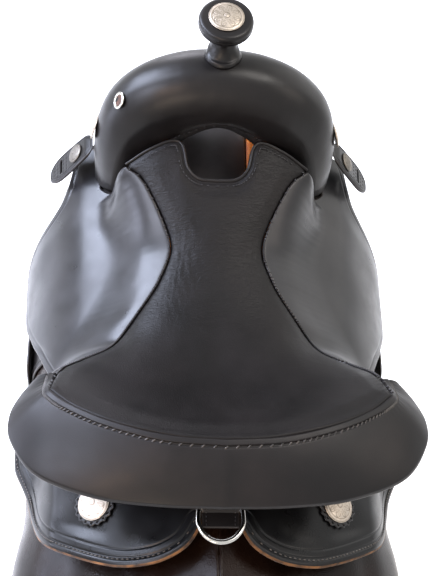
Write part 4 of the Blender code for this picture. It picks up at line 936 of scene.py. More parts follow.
# Arch: x, z, lean in degrees, shift in y, scale in y, scale across, inward depth.
SWELL_ARCH = np.array([
    (0.000, 0.1250, 0, 0.000, 1.00, 1.00, 1.0), (0.036, 0.1215, 13, -0.001, 1.00, 0.98, 1.4),
    (0.068, 0.1085, 32, -0.003, 0.99, 0.92, 1.8), (0.093, 0.0860, 54, -0.006, 0.98, 0.82, 2.3),
    (0.106, 0.0590, 78, -0.012, 0.97, 0.72, 2.8), (0.1115, 0.0330, 95, -0.018, 0.96, 0.65, 3.1),
    (0.113, 0.0120, 107, -0.022, 0.95, 0.62, 3.2)])
SWELL_AROUND = 112


def swell_surface(rings):
    """Rings from the left foot to the right: section turned by the lean, set on the arch."""
    section = spline(SWELL_SECTION - (SWELL_MIDDLE, 0), SWELL_AROUND, closed=True)
    knots = np.concatenate([SWELL_ARCH[:0:-1] * (-1, 1, -1, 1, 1, 1, 1), SWELL_ARCH])
    x, z, lean, shift, wide, tall, deep = spline(knots, rings).T[..., None]
    lean = np.radians(lean)
    across = section[:, 1] * tall * np.where(section[:, 1] < 0, deep, 1.0)
    return np.stack([x + across * np.sin(lean), SWELL_MIDDLE + shift + section[:, 0] * wide,
                     z + across * np.cos(lean)], -1)


swell_rings = swell_surface(161)
feet = []
for foot in (swell_rings[0], swell_rings[-1]):
    landing = bar_top_height(foot[:, 0], foot[:, 1]) + 0.0060
    share = np.linspace(0, 1, 10)[1:, None, None]
    feet.append(foot + share * np.stack([0 * landing, 0 * landing, landing - foot[:, 2]], -1))
swell_rings = np.concatenate([feet[0][::-1], swell_rings, feet[1]])
swell_out = unit(swell_rings - swell_rings.mean(1, keepdims=True))
pulled = 0.00012 * waves(swell_rings, 0.080, 41) + 0.00005 * waves(
    swell_rings * (1.0, 0.3, 0.5), 0.014, 42)
around_at = np.arange(SWELL_AROUND) * 16 / SWELL_AROUND
lip = bell(around_at, 0.35, 0.35) + bell(around_at, 16.35, 0.35)
swell_rings = swell_rings + swell_out * (pulled - 0.0010 * lip)[..., None]
add_loft("swell_leather", swell_rings, swell_leather, slot="seat_leather",
         instead_of=["swell_cover"])


def swell_height(x, y):
    """Height of the swell's crown near the middle: arch height plus section height."""
    (_, top), (first_x, first_z) = SWELL_ARCH[:2, :2]
    bend = math.radians(SWELL_ARCH[1, 2]) / first_x
    upper = spline(SWELL_SECTION[2:10], 60)
    tall = np.interp(y + 0.0008, upper[:, 0], upper[:, 1])
    near = abs(x) / (1 + tall * bend)
    return top - (top - first_z) * (near / first_x) ** 2 + tall * np.cos(near * bend)


lip_line = swell_rings[:, 3] + swell_out[:, 3] * 0.0002
add_stitches("swell_lip_thread", lip_line[20:-20], swell_out[20:-20, 3], thread, pitch=0.0046,
             long=0.0034, wide=0.0009, proud=0.0004)
print("swell rings:", len(swell_rings))

# %% [markdown]
# ## Horn
# The horn is a metal post in the tree with a wooden cap, both covered in wet leather.  The neck
# flares at its foot, where the leather is nailed to the swell, and again under the cap.  The cap
# is two discs of leather stitched round the edge.

# %% Horn
HORN_FOOT_Y = 0.209
CAP_TOP = (0.0, 0.218, 0.206)
CAP_RADIUS, CAP_THICK = 0.028, 0.014

turn = np.linspace(0, 2 * math.pi, 64, endpoint=False)
circle = np.stack([np.cos(turn), np.sin(turn), 0 * turn], -1)
horn_rings = []
for radius, rise_by in ((0.0182, 0.0006), (0.0194, 0.0012), (0.0192, 0.0032), (0.0176, 0.0052)):
    ring = np.array([0, HORN_FOOT_Y, 0]) + circle * radius
    ring[:, 2] = swell_height(ring[:, 0], ring[:, 1]) + rise_by
    horn_rings.append(ring)
crown = float(swell_height(np.zeros(1), np.array([HORN_FOOT_Y]))[0])
throat = np.array(CAP_TOP) - (0, 0, CAP_THICK + GAP)
for part, radius in ((0.24, 0.0163), (0.38, 0.0138), (0.52, 0.0129), (0.66, 0.0127),
                     (0.80, 0.0138), (0.93, 0.0165), (1.0, 0.0189)):
    horn_rings.append(np.array([0, HORN_FOOT_Y, crown]) * (1 - part) + throat * part
                      + circle * radius)
neck_rings = spline(np.array(horn_rings), 90)
neck_rings = neck_rings + circle * (0.0002 * waves(neck_rings, 0.014, 51))[..., None]
add_loft("horn_neck_leather", neck_rings, swell_leather, slot="seat_leather",
         instead_of=["horn_neck"])

cap_profile = spline([(0.66, 0.0000), (0.90, 0.0006), (0.985, 0.0030), (1.000, 0.0060),
                      (0.985, 0.0066), (1.000, 0.0072), (0.995, 0.0098), (0.950, 0.0126),
                      (0.860, 0.0138), (0.700, 0.0140), (0.300, 0.0140)], 70)
cap_rows = np.concatenate([[(0, 0)], cap_profile, [(0, 0.0140)]])
cap_foot = np.array(CAP_TOP) - (0, 0, CAP_THICK)
add_turned("horn_cap_leather", cap_foot, (0, 0, 1), cap_rows[:, 0] * CAP_RADIUS,
           cap_rows[:, 1], swell_leather, around=96, slot="seat_leather",
           instead_of=["horn_cap"])
cap_ring = cap_foot + circle * (CAP_RADIUS * 0.992) + (0, 0, 0.0088)
add_stitches("horn_cap_thread", np.concatenate([cap_ring, cap_ring[:1]]),
             np.concatenate([circle, circle[:1]]), thread, pitch=0.0036, long=0.0026,
             wide=0.0008, proud=0.0003)
print("horn crown at", round(crown, 4))

# %% [markdown]
# ## Conchos
# A concho is a thin domed disc, stamped and engraved.  Its relief is a formula of radius and
# angle: a beaded ring near the rim, eight petals with a second eight between them, and a boss
# in the middle.  The same formula marks the cuts, and tarnish stays there.


# %% Conchos
HORN_CONCHO, REAR_CONCHO, SWELL_CONCHO, KEEPER_CONCHO = 0.036, 0.035, 0.028, 0.022  # diameters


def add_concho(name, centre, up, diameter, finish=nickel_silver, petals=8, **where):
    """Domed disc from a radial grid; dome falls with the square of the radius."""
    around, r = 144, np.concatenate([np.linspace(0, 1, 46), [1.0, 0.97, 0.5, 0.0]])
    a = np.linspace(0, 2 * math.pi, around, endpoint=False)
    radius, angle = np.meshgrid(r, a, indexing="ij")
    petal = 0.26 + 0.50 * abs(np.cos(petals / 2 * angle)) ** 0.7
    between = 0.22 + 0.40 * abs(np.sin(petals / 2 * angle)) ** 0.7
    line = bell(radius, petal, 0.022) + 0.8 * bell(radius, between, 0.020) * (radius < petal)
    vein = bell(abs(np.sin(petals / 2 * angle)), 0, 0.10) * (radius > 0.3) * (radius < 0.7)
    ring = bell(radius, 0.80, 0.014) + bell(radius, 0.955, 0.012) + bell(radius, 0.17, 0.02)
    bead = 0.00026 * abs(np.cos(26 * angle)) * bell(radius, 0.875, 0.05)
    cut = np.clip(line + ring + 0.5 * vein, 0, 1)
    height = 0.0012 + 0.0024 * (1 - radius ** 2) - 0.00030 * cut + bead
    height = height + 0.0005 * bell(radius, 0, 0.13)
    height[46], height[47:] = 0.0004, 0.0
    cut[46:] = 0
    return add_turned(name, centre, up, radius * diameter / 2, height, finish,
                      around=around, cut=cut, slot="silver", **where)


def surface_frame(s, y, n, side):
    """A point above the barrel and the outward direction there."""
    here = barrel(s, y, n, side)
    return here, unit(barrel(s, y, n + 0.01, side) - here)


def node_frame(name, inside_point):
    """Middle of a flat round node and the axis it is thinnest along, turned outward."""
    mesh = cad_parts[name].data
    points = np.empty(len(mesh.vertices) * 3, np.float32)
    mesh.vertices.foreach_get("co", points)
    points = np.unique(points.reshape(-1, 3).round(6), axis=0).astype(float)
    middle = (points.min(0) + points.max(0)) / 2
    axis = np.linalg.svd(points - points.mean(0), full_matrices=False)[2][2]
    axis *= np.sign(axis @ (middle - inside_point))
    return middle, axis, (points - middle) @ axis


add_concho("horn_concho_silver", np.array(CAP_TOP) + (0, 0, GAP), (0, 0, 1), HORN_CONCHO,
           instead_of=["horn_concho"])
for word, side in SIDES:
    middle, axis, heights = node_frame("swell_concho_" + word, (side * 0.08, 0.187, 0.05))
    add_concho("swell_concho_silver_" + word, middle + axis * heights.min(), axis,
               SWELL_CONCHO, instead_of=["swell_concho_" + word])
    middle, axis, heights = node_frame("keeper_concho_" + word, (side * 0.10, 0.187, -0.05))
    add_concho("keeper_concho_silver_" + word, middle + axis * heights.min(), axis,
               KEEPER_CONCHO, dull_nickel, body="latigo_keeper_" + word,
               instead_of=["keeper_concho_" + word])
print("conchos made")

# %% [markdown]
# ## Eyelet
# A nickel ferrule is pressed through the leather on the left side of the swell.  It is a
# flattened ring, with the dark brown bottom of its hole in the middle.

# %% Eyelet
hole_brown = fibrous("brown_hole_lining", "#3b2114", "#52301c", 0.6, 900.0, 0.4)
middle, axis, heights = node_frame("eyelet_left", (-0.06, 0.185, 0.06))
a = np.linspace(0, 2 * math.pi, 25)[:-1]
ring_points = turned(middle, axis, 0.00765 + 0.0016 * np.cos(a), 0.00115 * np.sin(a), 72)
index = np.arange(24 * 72).reshape(24, 72)
add_piece("eyelet_ring_left", ring_points, quads(index, wrap_rows=True, wrap_cols=True),
          bright_nickel, slot="nickel", instead_of=["eyelet_left"])
dish = np.array([(0, -0.0002), (0.4, -0.0001), (0.8, 0.0001), (1, 0.0003), (1, -0.0009),
                 (0, -0.0012)])
add_turned("eyelet_bottom_left", middle, axis, dish[:, 0] * 0.0064, dish[:, 1], hole_brown)
print("eyelet made")

# %% [markdown]
# ## Seat jockeys
# A polished sheet hangs from each side seam, over the bar and out over the stirrup leather.  It
# was pressed while wet, so it swells softly, and its cut edge is burnished to a pale line.  A
# deep fold runs down where the leg bends it.

# %% Seat jockeys
seam_line = seam[(seam[:, 1] > -0.104) & (seam[:, 1] < 0.1308)][::-1]
jockey_s, jockey_n = barrel_place(seam_line)
JOCKEY_FRONT = [(0.0660, 0.1355), (0.0765, 0.1398), (0.0850, 0.1485), (0.0862, 0.1555),
                (0.0888, 0.165), (0.0905, 0.178), (0.0908, 0.190), (0.0912, 0.200)]
JOCKEY_OUTER = [(0.112, -0.099), (0.128, -0.080), (0.148, -0.052), (0.165, -0.028),
                (0.182, -0.006), (0.204, 0.028), (0.212, 0.066), (0.213, 0.098),
                (0.190, 0.121), (0.166, 0.134), (0.148, 0.143), (0.133, 0.156),
                (0.125, 0.178), (0.120, 0.196), (0.112, 0.205), (0.097, 0.2055)]


def seat_jockey_low(s, y):
    """Under side: up to the seam, over the bar, and out over the stirrup leather."""
    far = JOCKEY_LOW + (0.0180 - JOCKEY_LOW) * ramp(s, 0.10, 0.19)
    s0 = np.interp(y, seam_line[:, 1], jockey_s)
    n0 = np.interp(y, seam_line[:, 1], jockey_n) - JOCKEY_THICK
    rise_up = np.maximum(n0 - far, 0) * (1 - ramp(s - s0, 0.0, 0.078))
    return far + rise_up * (1 - ramp(y + 0.55 * np.maximum(s - s0, 0), 0.131, 0.162))


def seat_jockey_relief(d, s, y):
    """Pressed waves a hand wide, a fold towards the rear corner, and a rubbed edge line."""
    points = laid_flat(s, y)
    fold = bell((y + 0.020) - (s - 0.165) * 0.9, 0.0, 0.004) * ramp(s, 0.135, 0.165)
    return (0.0011 * waves(points, 0.085, 61) * ramp(d, 0.0, 0.03) - 0.0008 * fold
            - 0.0005 * bell(d, 0.0065, 0.0009) * ramp(s, 0.10, 0.12))


jockey_inner = np.concatenate([np.stack([jockey_s + 0.0022, seam_line[:, 1]], -1),
                               spline(JOCKEY_FRONT, 60)])
jockey_inner = evenly(jockey_inner, 300)
jockey_outer = spread(JOCKEY_OUTER, 300)
for word, side in SIDES:
    barrel_piece("seat_jockey_leather_" + word, side, jockey_inner, jockey_outer,
                 seat_jockey_low, JOCKEY_THICK, jockey_leather, size=(212, 110),
                 relief=seat_jockey_relief, edge_finish=edge_leather,
                 back_finish=dark_suede, slot="polished_leather",
                 instead_of=["seat_jockey_" + word])
print("seat jockeys made")

# %% [markdown]
# ## Rear jockeys
# Behind the cantle two more sheets meet on the centre line.  Each has a raised rim, a row of
# stitches with a rubbed channel beside it, and a second pressed line further in.  Their flesh
# side shows as a tan fuzzy edge.

# %% Rear jockeys
REAR_INNER = [(-0.028, -0.224), (0.010, -0.222), (0.050, -0.216), (0.090, -0.200),
              (0.124, -0.176), (0.138, -0.145), (0.140, -0.118), (0.147, -0.092)]
REAR_OUTER = [(-0.028, -0.250), (-0.015, -0.268), (0.005, -0.279), (0.025, -0.283),
              (0.050, -0.282), (0.075, -0.275), (0.100, -0.265), (0.125, -0.253),
              (0.145, -0.239), (0.164, -0.219), (0.178, -0.196), (0.188, -0.172),
              (0.198, -0.140), (0.196, -0.105), (0.180, -0.081), (0.162, -0.082)]
rear_inner, rear_outer = spread(REAR_INNER, 300), spread(REAR_OUTER, 300)
rear_ring = np.concatenate([rear_inner, rear_outer[::-1]])


def rear_jockey_low(s, y):
    """Lies on the bar, then comes down to the skirt; its front wing stands off."""
    wing = 0.011 * ramp(s, 0.155, 0.200) * ramp(y, -0.195, -0.150)
    return JOCKEY_LOW + 0.0003 + (0.0095 - JOCKEY_LOW) * ramp(s, 0.118, 0.175) + wing


def rear_jockey_relief(_, s, y):
    """Rim, sewn channel at 7 mm and pressed line at 15 mm from the outer edge."""
    points = laid_flat(s, y)
    d = open_distance(points[..., :2], rear_outer)
    return (0.0007 * ramp(d, 0.0, 0.002) * (1 - ramp(d, 0.0035, 0.0055))
            - 0.0009 * bell(d, 0.0072, 0.0011) - 0.0007 * bell(d, 0.0150, 0.0008)
            + 0.0006 * waves(points, 0.070, 71) * ramp(d, 0.016, 0.030))


def inset_path(ring, amount, count=700):
    """A closed flat ring moved inward by the amount and spread evenly."""
    ring = evenly(ring, count, closed=True)
    ahead = unit(np.roll(ring, -3, 0) - np.roll(ring, 3, 0))
    area = np.sum(ring[:, 0] * np.roll(ring[:, 1], -1) - np.roll(ring[:, 0], -1) * ring[:, 1])
    return ring + np.stack([-ahead[:, 1], ahead[:, 0]], -1) * amount * np.sign(area)


def sheet_path(flat, low, height, side):
    """World points and outward directions of a flat path on top of a sheet."""
    s, y = flat[:, 0], flat[:, 1]
    n = low(s, y) + height
    here = barrel(s, y, n, side)
    return here, unit(barrel(s, y, n + 0.01, side) - here)


rear_stitch = inset_path(rear_ring, 0.0056)
rear_stitch = rear_stitch[open_distance(rear_stitch, rear_outer) < 0.0062]
for word, side in SIDES:
    barrel_piece("rear_jockey_leather_" + word, side, rear_inner, rear_outer,
                 rear_jockey_low, JOCKEY_THICK, rear_leather, size=(296, 100),
                 relief=rear_jockey_relief, edge_finish=raw_edge, back_finish=suede,
                 slot="polished_leather", instead_of=["rear_jockey_" + word])
    path, ups = sheet_path(rear_stitch, rear_jockey_low, JOCKEY_THICK + 0.0001, side)
    add_stitches("rear_jockey_thread_" + word, path, ups, pale_thread, pitch=0.0040,
                 long=0.0030, wide=0.0012, proud=0.0008)
print("rear jockeys made, stitched at", len(rear_stitch), "points")

# %% [markdown]
# ## Front jockeys
# Two small sheets cover the tips of the bars in front of the swell.

# %% Front jockeys
front_inner = spread([(-0.020, 0.2338), (0.020, 0.2335), (0.055, 0.2335), (0.072, 0.2355)])
front_outer = spread([(-0.023, 0.245), (-0.018, 0.253), (0.010, 0.257), (0.045, 0.255),
                      (0.066, 0.250), (0.077, 0.2435)])


def front_jockey_low(s, y):
    """Lies on the front of the bar and follows it down to its tip."""
    fall = np.clip((y - 0.2107) / (0.244 - 0.2107), 0, 1)
    return JOCKEY_LOW - (BAR_THICK * 0.62 - 0.0010) * fall + 0 * s


for word, side in SIDES:
    barrel_piece("front_jockey_leather_" + word, side, front_inner, front_outer,
                 front_jockey_low, JOCKEY_THICK, jockey_leather, size=(120, 30),
                 relief=lambda d, s, y: -0.0005 * bell(d, 0.005, 0.0009),
                 edge_finish=edge_leather, slot="polished_leather",
                 instead_of=["front_jockey_" + word])
print("front jockeys made")

# %% [markdown]
# ## Rosettes and rear conchos
# Under each rear concho lies a scalloped leather rosette, punched with a ring of small holes.

# %% Rosettes and rear conchos
ROSETTE_AT = (0.074, -0.219)
ROSETTE_RADIUS, ROSETTE_THICK = 0.023, 0.0022
SCALLOPS = 18

r = np.concatenate([[0, 0.3], np.linspace(0.5, 1, 40), [1, 0.98, 0]])
angle = np.linspace(0, 2 * math.pi, 216, endpoint=False)
radius, turned_by = np.meshgrid(r, angle, indexing="ij")
sector = 2 * math.pi / SCALLOPS
off = (turned_by + sector / 2) % sector - sector / 2
scallop = 1 - 0.075 * abs(np.sin(turned_by * SCALLOPS / 2)) ** 1.6 * ramp(radius, 0.7, 1.0)
punched = np.hypot((radius - 0.86) * ROSETTE_RADIUS, radius * ROSETTE_RADIUS * off)
depth = 0.0019 * (1 - ramp(punched, 0.0009, 0.0014))
lace_height = ROSETTE_THICK - depth - 0.0007 * ramp(radius, 0.96, 1.0)
lace_height[-2], lace_height[-1] = 0.0002, 0.0002
for word, side in SIDES:
    seat_n = float(rear_jockey_low(*ROSETTE_AT)) + JOCKEY_THICK + 0.0011
    here, out = surface_frame(*ROSETTE_AT, seat_n, side)
    add_turned("rosette_leather_" + word, here, out, radius * scallop * ROSETTE_RADIUS,
               lace_height, jockey_leather, around=216, slot="polished_leather",
               instead_of=["rosette_" + word])
    add_concho("rear_concho_silver_" + word, here + out * (ROSETTE_THICK + GAP),
               out, REAR_CONCHO, instead_of=["rear_concho_" + word])
print("rosettes with", SCALLOPS, "scallops")

# %% [markdown]
# ## Rings
# The dees are bent from round wire and plated.  The rear one hangs under a leather keeper behind
# the cantle, the front ones carry the cinch.

# %% Rings


def add_dee(name, centre, along, down, width, depth, wire, **where):
    """D of round wire: a straight bar through the centre and a half-oval bow below it."""
    along, down = unit(np.asarray(along, float)), unit(np.asarray(down, float))
    half = width / 2
    a = np.linspace(0, math.pi, 11)
    bow = np.stack([half * np.cos(a), depth * 0.38 + depth * 0.62 * np.sin(a)], -1)
    flat = np.concatenate([[(-half * 0.6, 0), (0, 0), (half * 0.6, 0),
                            (half * 0.93, depth * 0.05)], bow, [(-half * 0.93, depth * 0.05)]])
    flat = spline(flat, 160, closed=True)
    path = np.asarray(centre) + flat[:, :1] * along + flat[:, 1:] * down
    ups = np.broadcast_to(np.cross(along, down), path.shape)
    rings = sweep(path, ups, wire / 2, wire / 2, around=20, closed=True)
    index = np.arange(160 * 20).reshape(160, 20)
    add_piece(name, rings, quads(index, wrap_rows=True, wrap_cols=True), bright_nickel,
              slot="nickel", **where)


REAR_DEE_AT = (0.0, -0.234, 0.04754)
add_dee("rear_dee_ring", REAR_DEE_AT, (1, 0, 0), (0, -1, 0.06), 0.0422, 0.035, 0.0048,
        body="rear_dee", instead_of=["rear_dee"])
for word, side in SIDES:
    add_dee("rigging_dee_ring_" + word, (side * 0.20287, 0.097, -0.17971), (0, 1, 0),
            (0, 0, -1), 0.060, 0.044, 0.0050, body="rigging_dee_" + word,
            instead_of=["rigging_dee_" + word])

keeper_y = np.linspace(-0.2245, -0.254, 60)
keeper_x = np.linspace(-0.0165, 0.0165, 30)
grid_x, grid_y = np.meshgrid(keeper_x, keeper_y)
hump = np.interp(-keeper_y, [0.2245, 0.228, 0.230, 0.232, 0.234, 0.236, 0.238, 0.2405, 0.254],
                 [0, 0, 0.40, 0.86, 1.0, 0.86, 0.40, 0, 0])[:, None] * 0.0060
deck_n = JOCKEY_LOW + 0.0003 + JOCKEY_THICK
deck = (deck_n * math.cos(math.radians(20)) + RIM_RISE * (grid_y / 0.33) ** 2
        + (GULLET_HALF + deck_n * math.sin(math.radians(20)) - 0.0162)
        * math.tan(math.radians(20)))
keeper_low = np.stack([grid_x, grid_y, deck + GAP + hump], -1)
add_sheet("dee_keeper_leather", keeper_low + (0, 0, 0.0026), keeper_low, strap_leather,
          edge_finish=edge_leather, slot="polished_leather", instead_of=["dee_keeper"])
for word, side in SIDES:
    path = keeper_low[4:-4, 15] * (0, 1, 1) + (side * 0.0135, 0, 0.0028)
    add_stitches("dee_keeper_thread_" + word, path, np.broadcast_to((0.0, 0, 1), path.shape),
                 thread, pitch=0.0034, long=0.0026, wide=0.0009)
print("rings made")

# %% [markdown]
# ## Latigo keepers
# Two stiff tabs hang from the sides of the swell to hold the end of the latigo strap.  Each has
# a slot across it, and beside the slot two columns of small stamped dots.  The saddler skives a
# tab, or thins it, at the end under the screw, and that also lets it turn up without rubbing.

# %% Latigo keepers
KEEPER_RING = [(0.002, -0.008), (0.012, -0.0135), (0.040, -0.0155), (0.066, -0.0150),
               (0.080, -0.0085), (0.083, 0.000), (0.080, 0.0085), (0.066, 0.0150),
               (0.040, 0.0155), (0.012, 0.0135), (0.002, 0.008)]
KEEPER_THICK = 0.0040

ring = spline(KEEPER_RING, 241)
left_edge, right_edge = evenly(ring[:116], 100), evenly(ring[:-117:-1], 100)
tab = ruled(left_edge, right_edge, 130, 60)
for word, side in SIDES:
    start_at = np.array([side * 0.1350, 0.190, 0.0250])
    long_way = unit(np.array([side * 0.1840, 0.183, -0.0420]) - start_at)
    across = unit(np.array([0.0, 1.0, 0.0]) - long_way * long_way[1])
    out = np.cross(long_way, across)
    out *= np.sign(out[2])
    flat = tab.copy()
    inner = cut_slot(flat, 0.060, 0.0, 0.020, 0.005)
    d = edge_distance(flat, ring)
    dots = 0
    for u in (0.048, 0.054, 0.066, 0.072):
        dots = dots + bell(flat[..., 0], u, 0.0011) * bell((flat[..., 1] + 0.0125) % 0.005,
                                                            0.0025, 0.0011)
    height = (KEEPER_THICK - 0.0006 * bell(d, 0.0028, 0.0007)
              - 0.0006 * dots * (d > 0.004) - 0.0006 * (1 - ramp(d, 0.0, 0.0012)))
    height *= 0.3 + 0.7 * ramp(flat[..., 0], 0.0, 0.014)
    base = start_at + flat[..., :1] * long_way + flat[..., 1:] * across
    add_sheet("latigo_keeper_leather_" + word, base + height[..., None] * out, base,
              strap_leather, edge_finish=edge_leather, inner=inner,
              body="latigo_keeper_" + word, slot="strap_leather",
              instead_of=["latigo_keeper_" + word])
print("keepers made")

# %% [markdown]
# ## Straps
# The stirrup leather and the rigging strap come out from under the jockey and lie on the skirt.
# The rigging strap humps over the bar of its dee.

# %% Straps


def strap_grid(s0, s1, y0, y1, low, rows=120, cols=24):
    """Flat grid of a strap and the heights of its under side."""
    s, y = np.meshgrid(np.linspace(s0, s1, rows), np.linspace(y0, y1, cols), indexing="ij")
    return s, y, low(s, y)


def rig_strap_low(s, _):
    """Lies on the skirt and humps over the bar of the dee."""
    return STRAP_LOW + 0.0059 * (1 - ramp(abs(s - 0.262), 0.0030, 0.0085))


for word, side in SIDES:
    for name, s1, y0, y1, low in (
            ("stirrup_leather", 0.258, -0.030, 0.034, lambda s, y: STRAP_LOW + 0 * s),
            ("rigging_strap", 0.280, 0.078, 0.116, rig_strap_low)):
        s, y, under = strap_grid(0.123, s1, y0 + 0.0014, y1 - 0.0014, low)
        d = np.minimum(y - y0, y1 - y)
        over = under + STRAP_THICK - 0.0004 * bell(d, 0.0035, 0.0007)
        add_sheet(name + "_strap_" + word, barrel(s, y, over, side),
                  barrel(s, y, under, side), strap_leather, edge_finish=edge_leather,
                  back_finish=dark_suede, slot="strap_leather",
                  instead_of=[name + "_" + word])
        for edge in (y0 + 0.006, y1 - 0.006):
            line = np.stack([np.linspace(0.126, s1 - 0.004, 90), np.full(90, edge)], -1)
            path, ups = sheet_path(line, low, STRAP_THICK, side)
            tag = "_front_" if edge > (y0 + y1) / 2 else "_rear_"
            add_stitches(name + tag + "thread_" + word, path, ups, thread)

# %% [markdown]
# ## Fenders
# The fender is the wide leather that keeps the rider's leg off the horse.  It hangs flat from
# the stirrup leather, with a tooled border, and it swings a little back and forth.

# %% Fenders
FENDER_X = float(np.max(x_fine)) + STRAP_TOP + GAP
PIVOT_Y, PIVOT_Z = 0.002, -0.150
FENDER_REAR = [(-0.006, 0.0285), (-0.022, 0.026), (-0.031, 0.014), (-0.036, -0.010),
               (-0.046, -0.050), (-0.066, -0.095), (-0.075, -0.130), (-0.068, -0.165),
               (-0.045, -0.195), (-0.028, -0.214), (-0.0255, -0.2255)]
FENDER_FORE = [(0.006, 0.0285), (0.022, 0.026), (0.031, 0.014), (0.038, -0.010),
               (0.052, -0.050), (0.077, -0.095), (0.083, -0.130), (0.070, -0.165),
               (0.045, -0.195), (0.028, -0.214), (0.0255, -0.2255)]
fender_rear, fender_fore = spread(FENDER_REAR, 200), spread(FENDER_FORE, 200)
fender_ring = np.concatenate([fender_rear, fender_fore[::-1]])
flat = ruled(fender_rear, fender_fore, 180, 84)
d = edge_distance(flat, fender_ring)
border_line = inset_path(fender_ring, 0.0060)
points = np.concatenate([flat, 0 * d[..., None]], -1)
tooled = (FENDER_THICK - 0.0006 * bell(d, 0.0090, 0.0009) - 0.0005 * bell(d, 0.0135, 0.0008)
          + 0.0005 * waves(points, 0.070, 81) * ramp(d, 0.012, 0.03)
          - 0.0005 * (1 - ramp(d, 0, 0.0015)))


def fender_place(flat, n, side):
    """World points of the hanging fender, n outward from its inner face."""
    return np.stack([side * (FENDER_X + n), PIVOT_Y + flat[..., 0], PIVOT_Z + flat[..., 1]], -1)


for word, side in SIDES:
    add_sheet("fender_leather_" + word, fender_place(flat, tooled, side),
              fender_place(flat, 0 * d, side), rear_leather, edge_finish=edge_leather,
              back_finish=dark_suede, body="fender_" + word, slot="polished_leather",
              instead_of=["fender_" + word])
    path = fender_place(border_line, FENDER_THICK + 0 * border_line[:, 0], side)
    add_stitches("fender_thread_" + word, path, np.broadcast_to((side, 0.0, 0), path.shape),
                 thread, pitch=0.0042, long=0.0032, wide=0.0011, body="fender_" + word)
print("fenders made")

# %% [markdown]
# ## Stirrup neck and bolt
# Under the fender the stirrup leather runs on as a narrow strap.  Its end is folded round the
# stirrup bolt and sewn back on itself.

# %% Stirrup neck and bolt
LOOP_RADIUS, BOLT_RADIUS, BOLT_Z, BOLT_HALF = 0.0085, 0.004, -0.400, 0.0362
BOLT_X = FENDER_X - GAP - LOOP_RADIUS

a = np.radians(np.linspace(0, -296, 90))
loop = np.stack([np.cos(a), np.sin(a)], -1)
straight = np.linspace(-0.205, BOLT_Z, 121)[:-1]
face = np.stack([np.full(120, BOLT_X + LOOP_RADIUS), straight], -1)
outer_path = np.concatenate([face, (BOLT_X, BOLT_Z) + loop * LOOP_RADIUS])
inner_path = np.concatenate([face - (STRAP_THICK - 0.0004, 0),
                             (BOLT_X, BOLT_Z) + loop * (BOLT_RADIUS + 0.0006)])
inner_path[100:124, 0] = np.linspace(inner_path[100, 0], inner_path[124, 0], 24)
strap_y = np.linspace(-0.0205, 0.0205, 30) + PIVOT_Y
bolt_head = BOLT_HALF * np.array([(0, 1)] * 7) - np.array([
    (0, 0), (-0.0035, 0), (-0.0058, 0.0008), (-0.0065, 0.0018), (-0.0065, 0.0028),
    (-0.0060, 0.0030), (-BOLT_RADIUS, 0.0030)])
bolt = np.concatenate([bolt_head * (1, -1), [(BOLT_RADIUS, 0.0)], bolt_head[::-1]])
for word, side in SIDES:
    faces_of = [np.stack([np.broadcast_to(side * path[:, :1], (len(path), 30)),
                          np.broadcast_to(strap_y, (len(path), 30)),
                          np.broadcast_to(path[:, 1:], (len(path), 30))], -1)
                for path in (outer_path, inner_path)]
    add_sheet("stirrup_neck_leather_" + word, *faces_of, strap_leather,
              edge_finish=edge_leather, body="fender_" + word, slot="strap_leather",
              instead_of=["stirrup_neck_" + word])
    for edge in (-0.016, 0.016):
        path = np.stack([np.full(80, side * (BOLT_X + LOOP_RADIUS)),
                         np.full(80, PIVOT_Y + edge), np.linspace(-0.378, -0.388, 80)], -1)
        tag = "front_" if edge > 0 else "rear_"
        add_stitches("stirrup_neck_" + tag + "thread_" + word, path,
                     np.broadcast_to((side, 0.0, 0), path.shape), thread,
                     body="fender_" + word)
    add_turned("stirrup_bolt_steel_" + word, (side * BOLT_X, PIVOT_Y, BOLT_Z), (0, 1, 0),
               bolt[:, 0], bolt[:, 1], bright_nickel, around=32, body="fender_" + word,
               slot="nickel", instead_of=["stirrup_bolt_" + word])
print("stirrup necks and bolts made")

# %% [markdown]
# ## Stirrups
# A wooden stirrup is steamed into a bell shape and covered in leather, sewn along the middle of
# its outer face.  The tread is flat and wider than the sides.

# %% Stirrups
STIRRUP_FRAME = np.array([
    (-0.0285, 0.0110, 0.0032, 0.0105), (-0.0285, -0.0100, 0.0035, 0.0125),
    (-0.0400, -0.0300, 0.0040, 0.0145), (-0.0530, -0.0600, 0.0042, 0.0165),
    (-0.0570, -0.0880, 0.0044, 0.0185), (-0.0520, -0.1150, 0.0046, 0.0205),
    (-0.0420, -0.1285, 0.0046, 0.0210), (-0.0300, -0.1305, 0.0046, 0.0210),
    (-0.0150, -0.1305, 0.0046, 0.0210), (0.0000, -0.1305, 0.0046, 0.0210)])

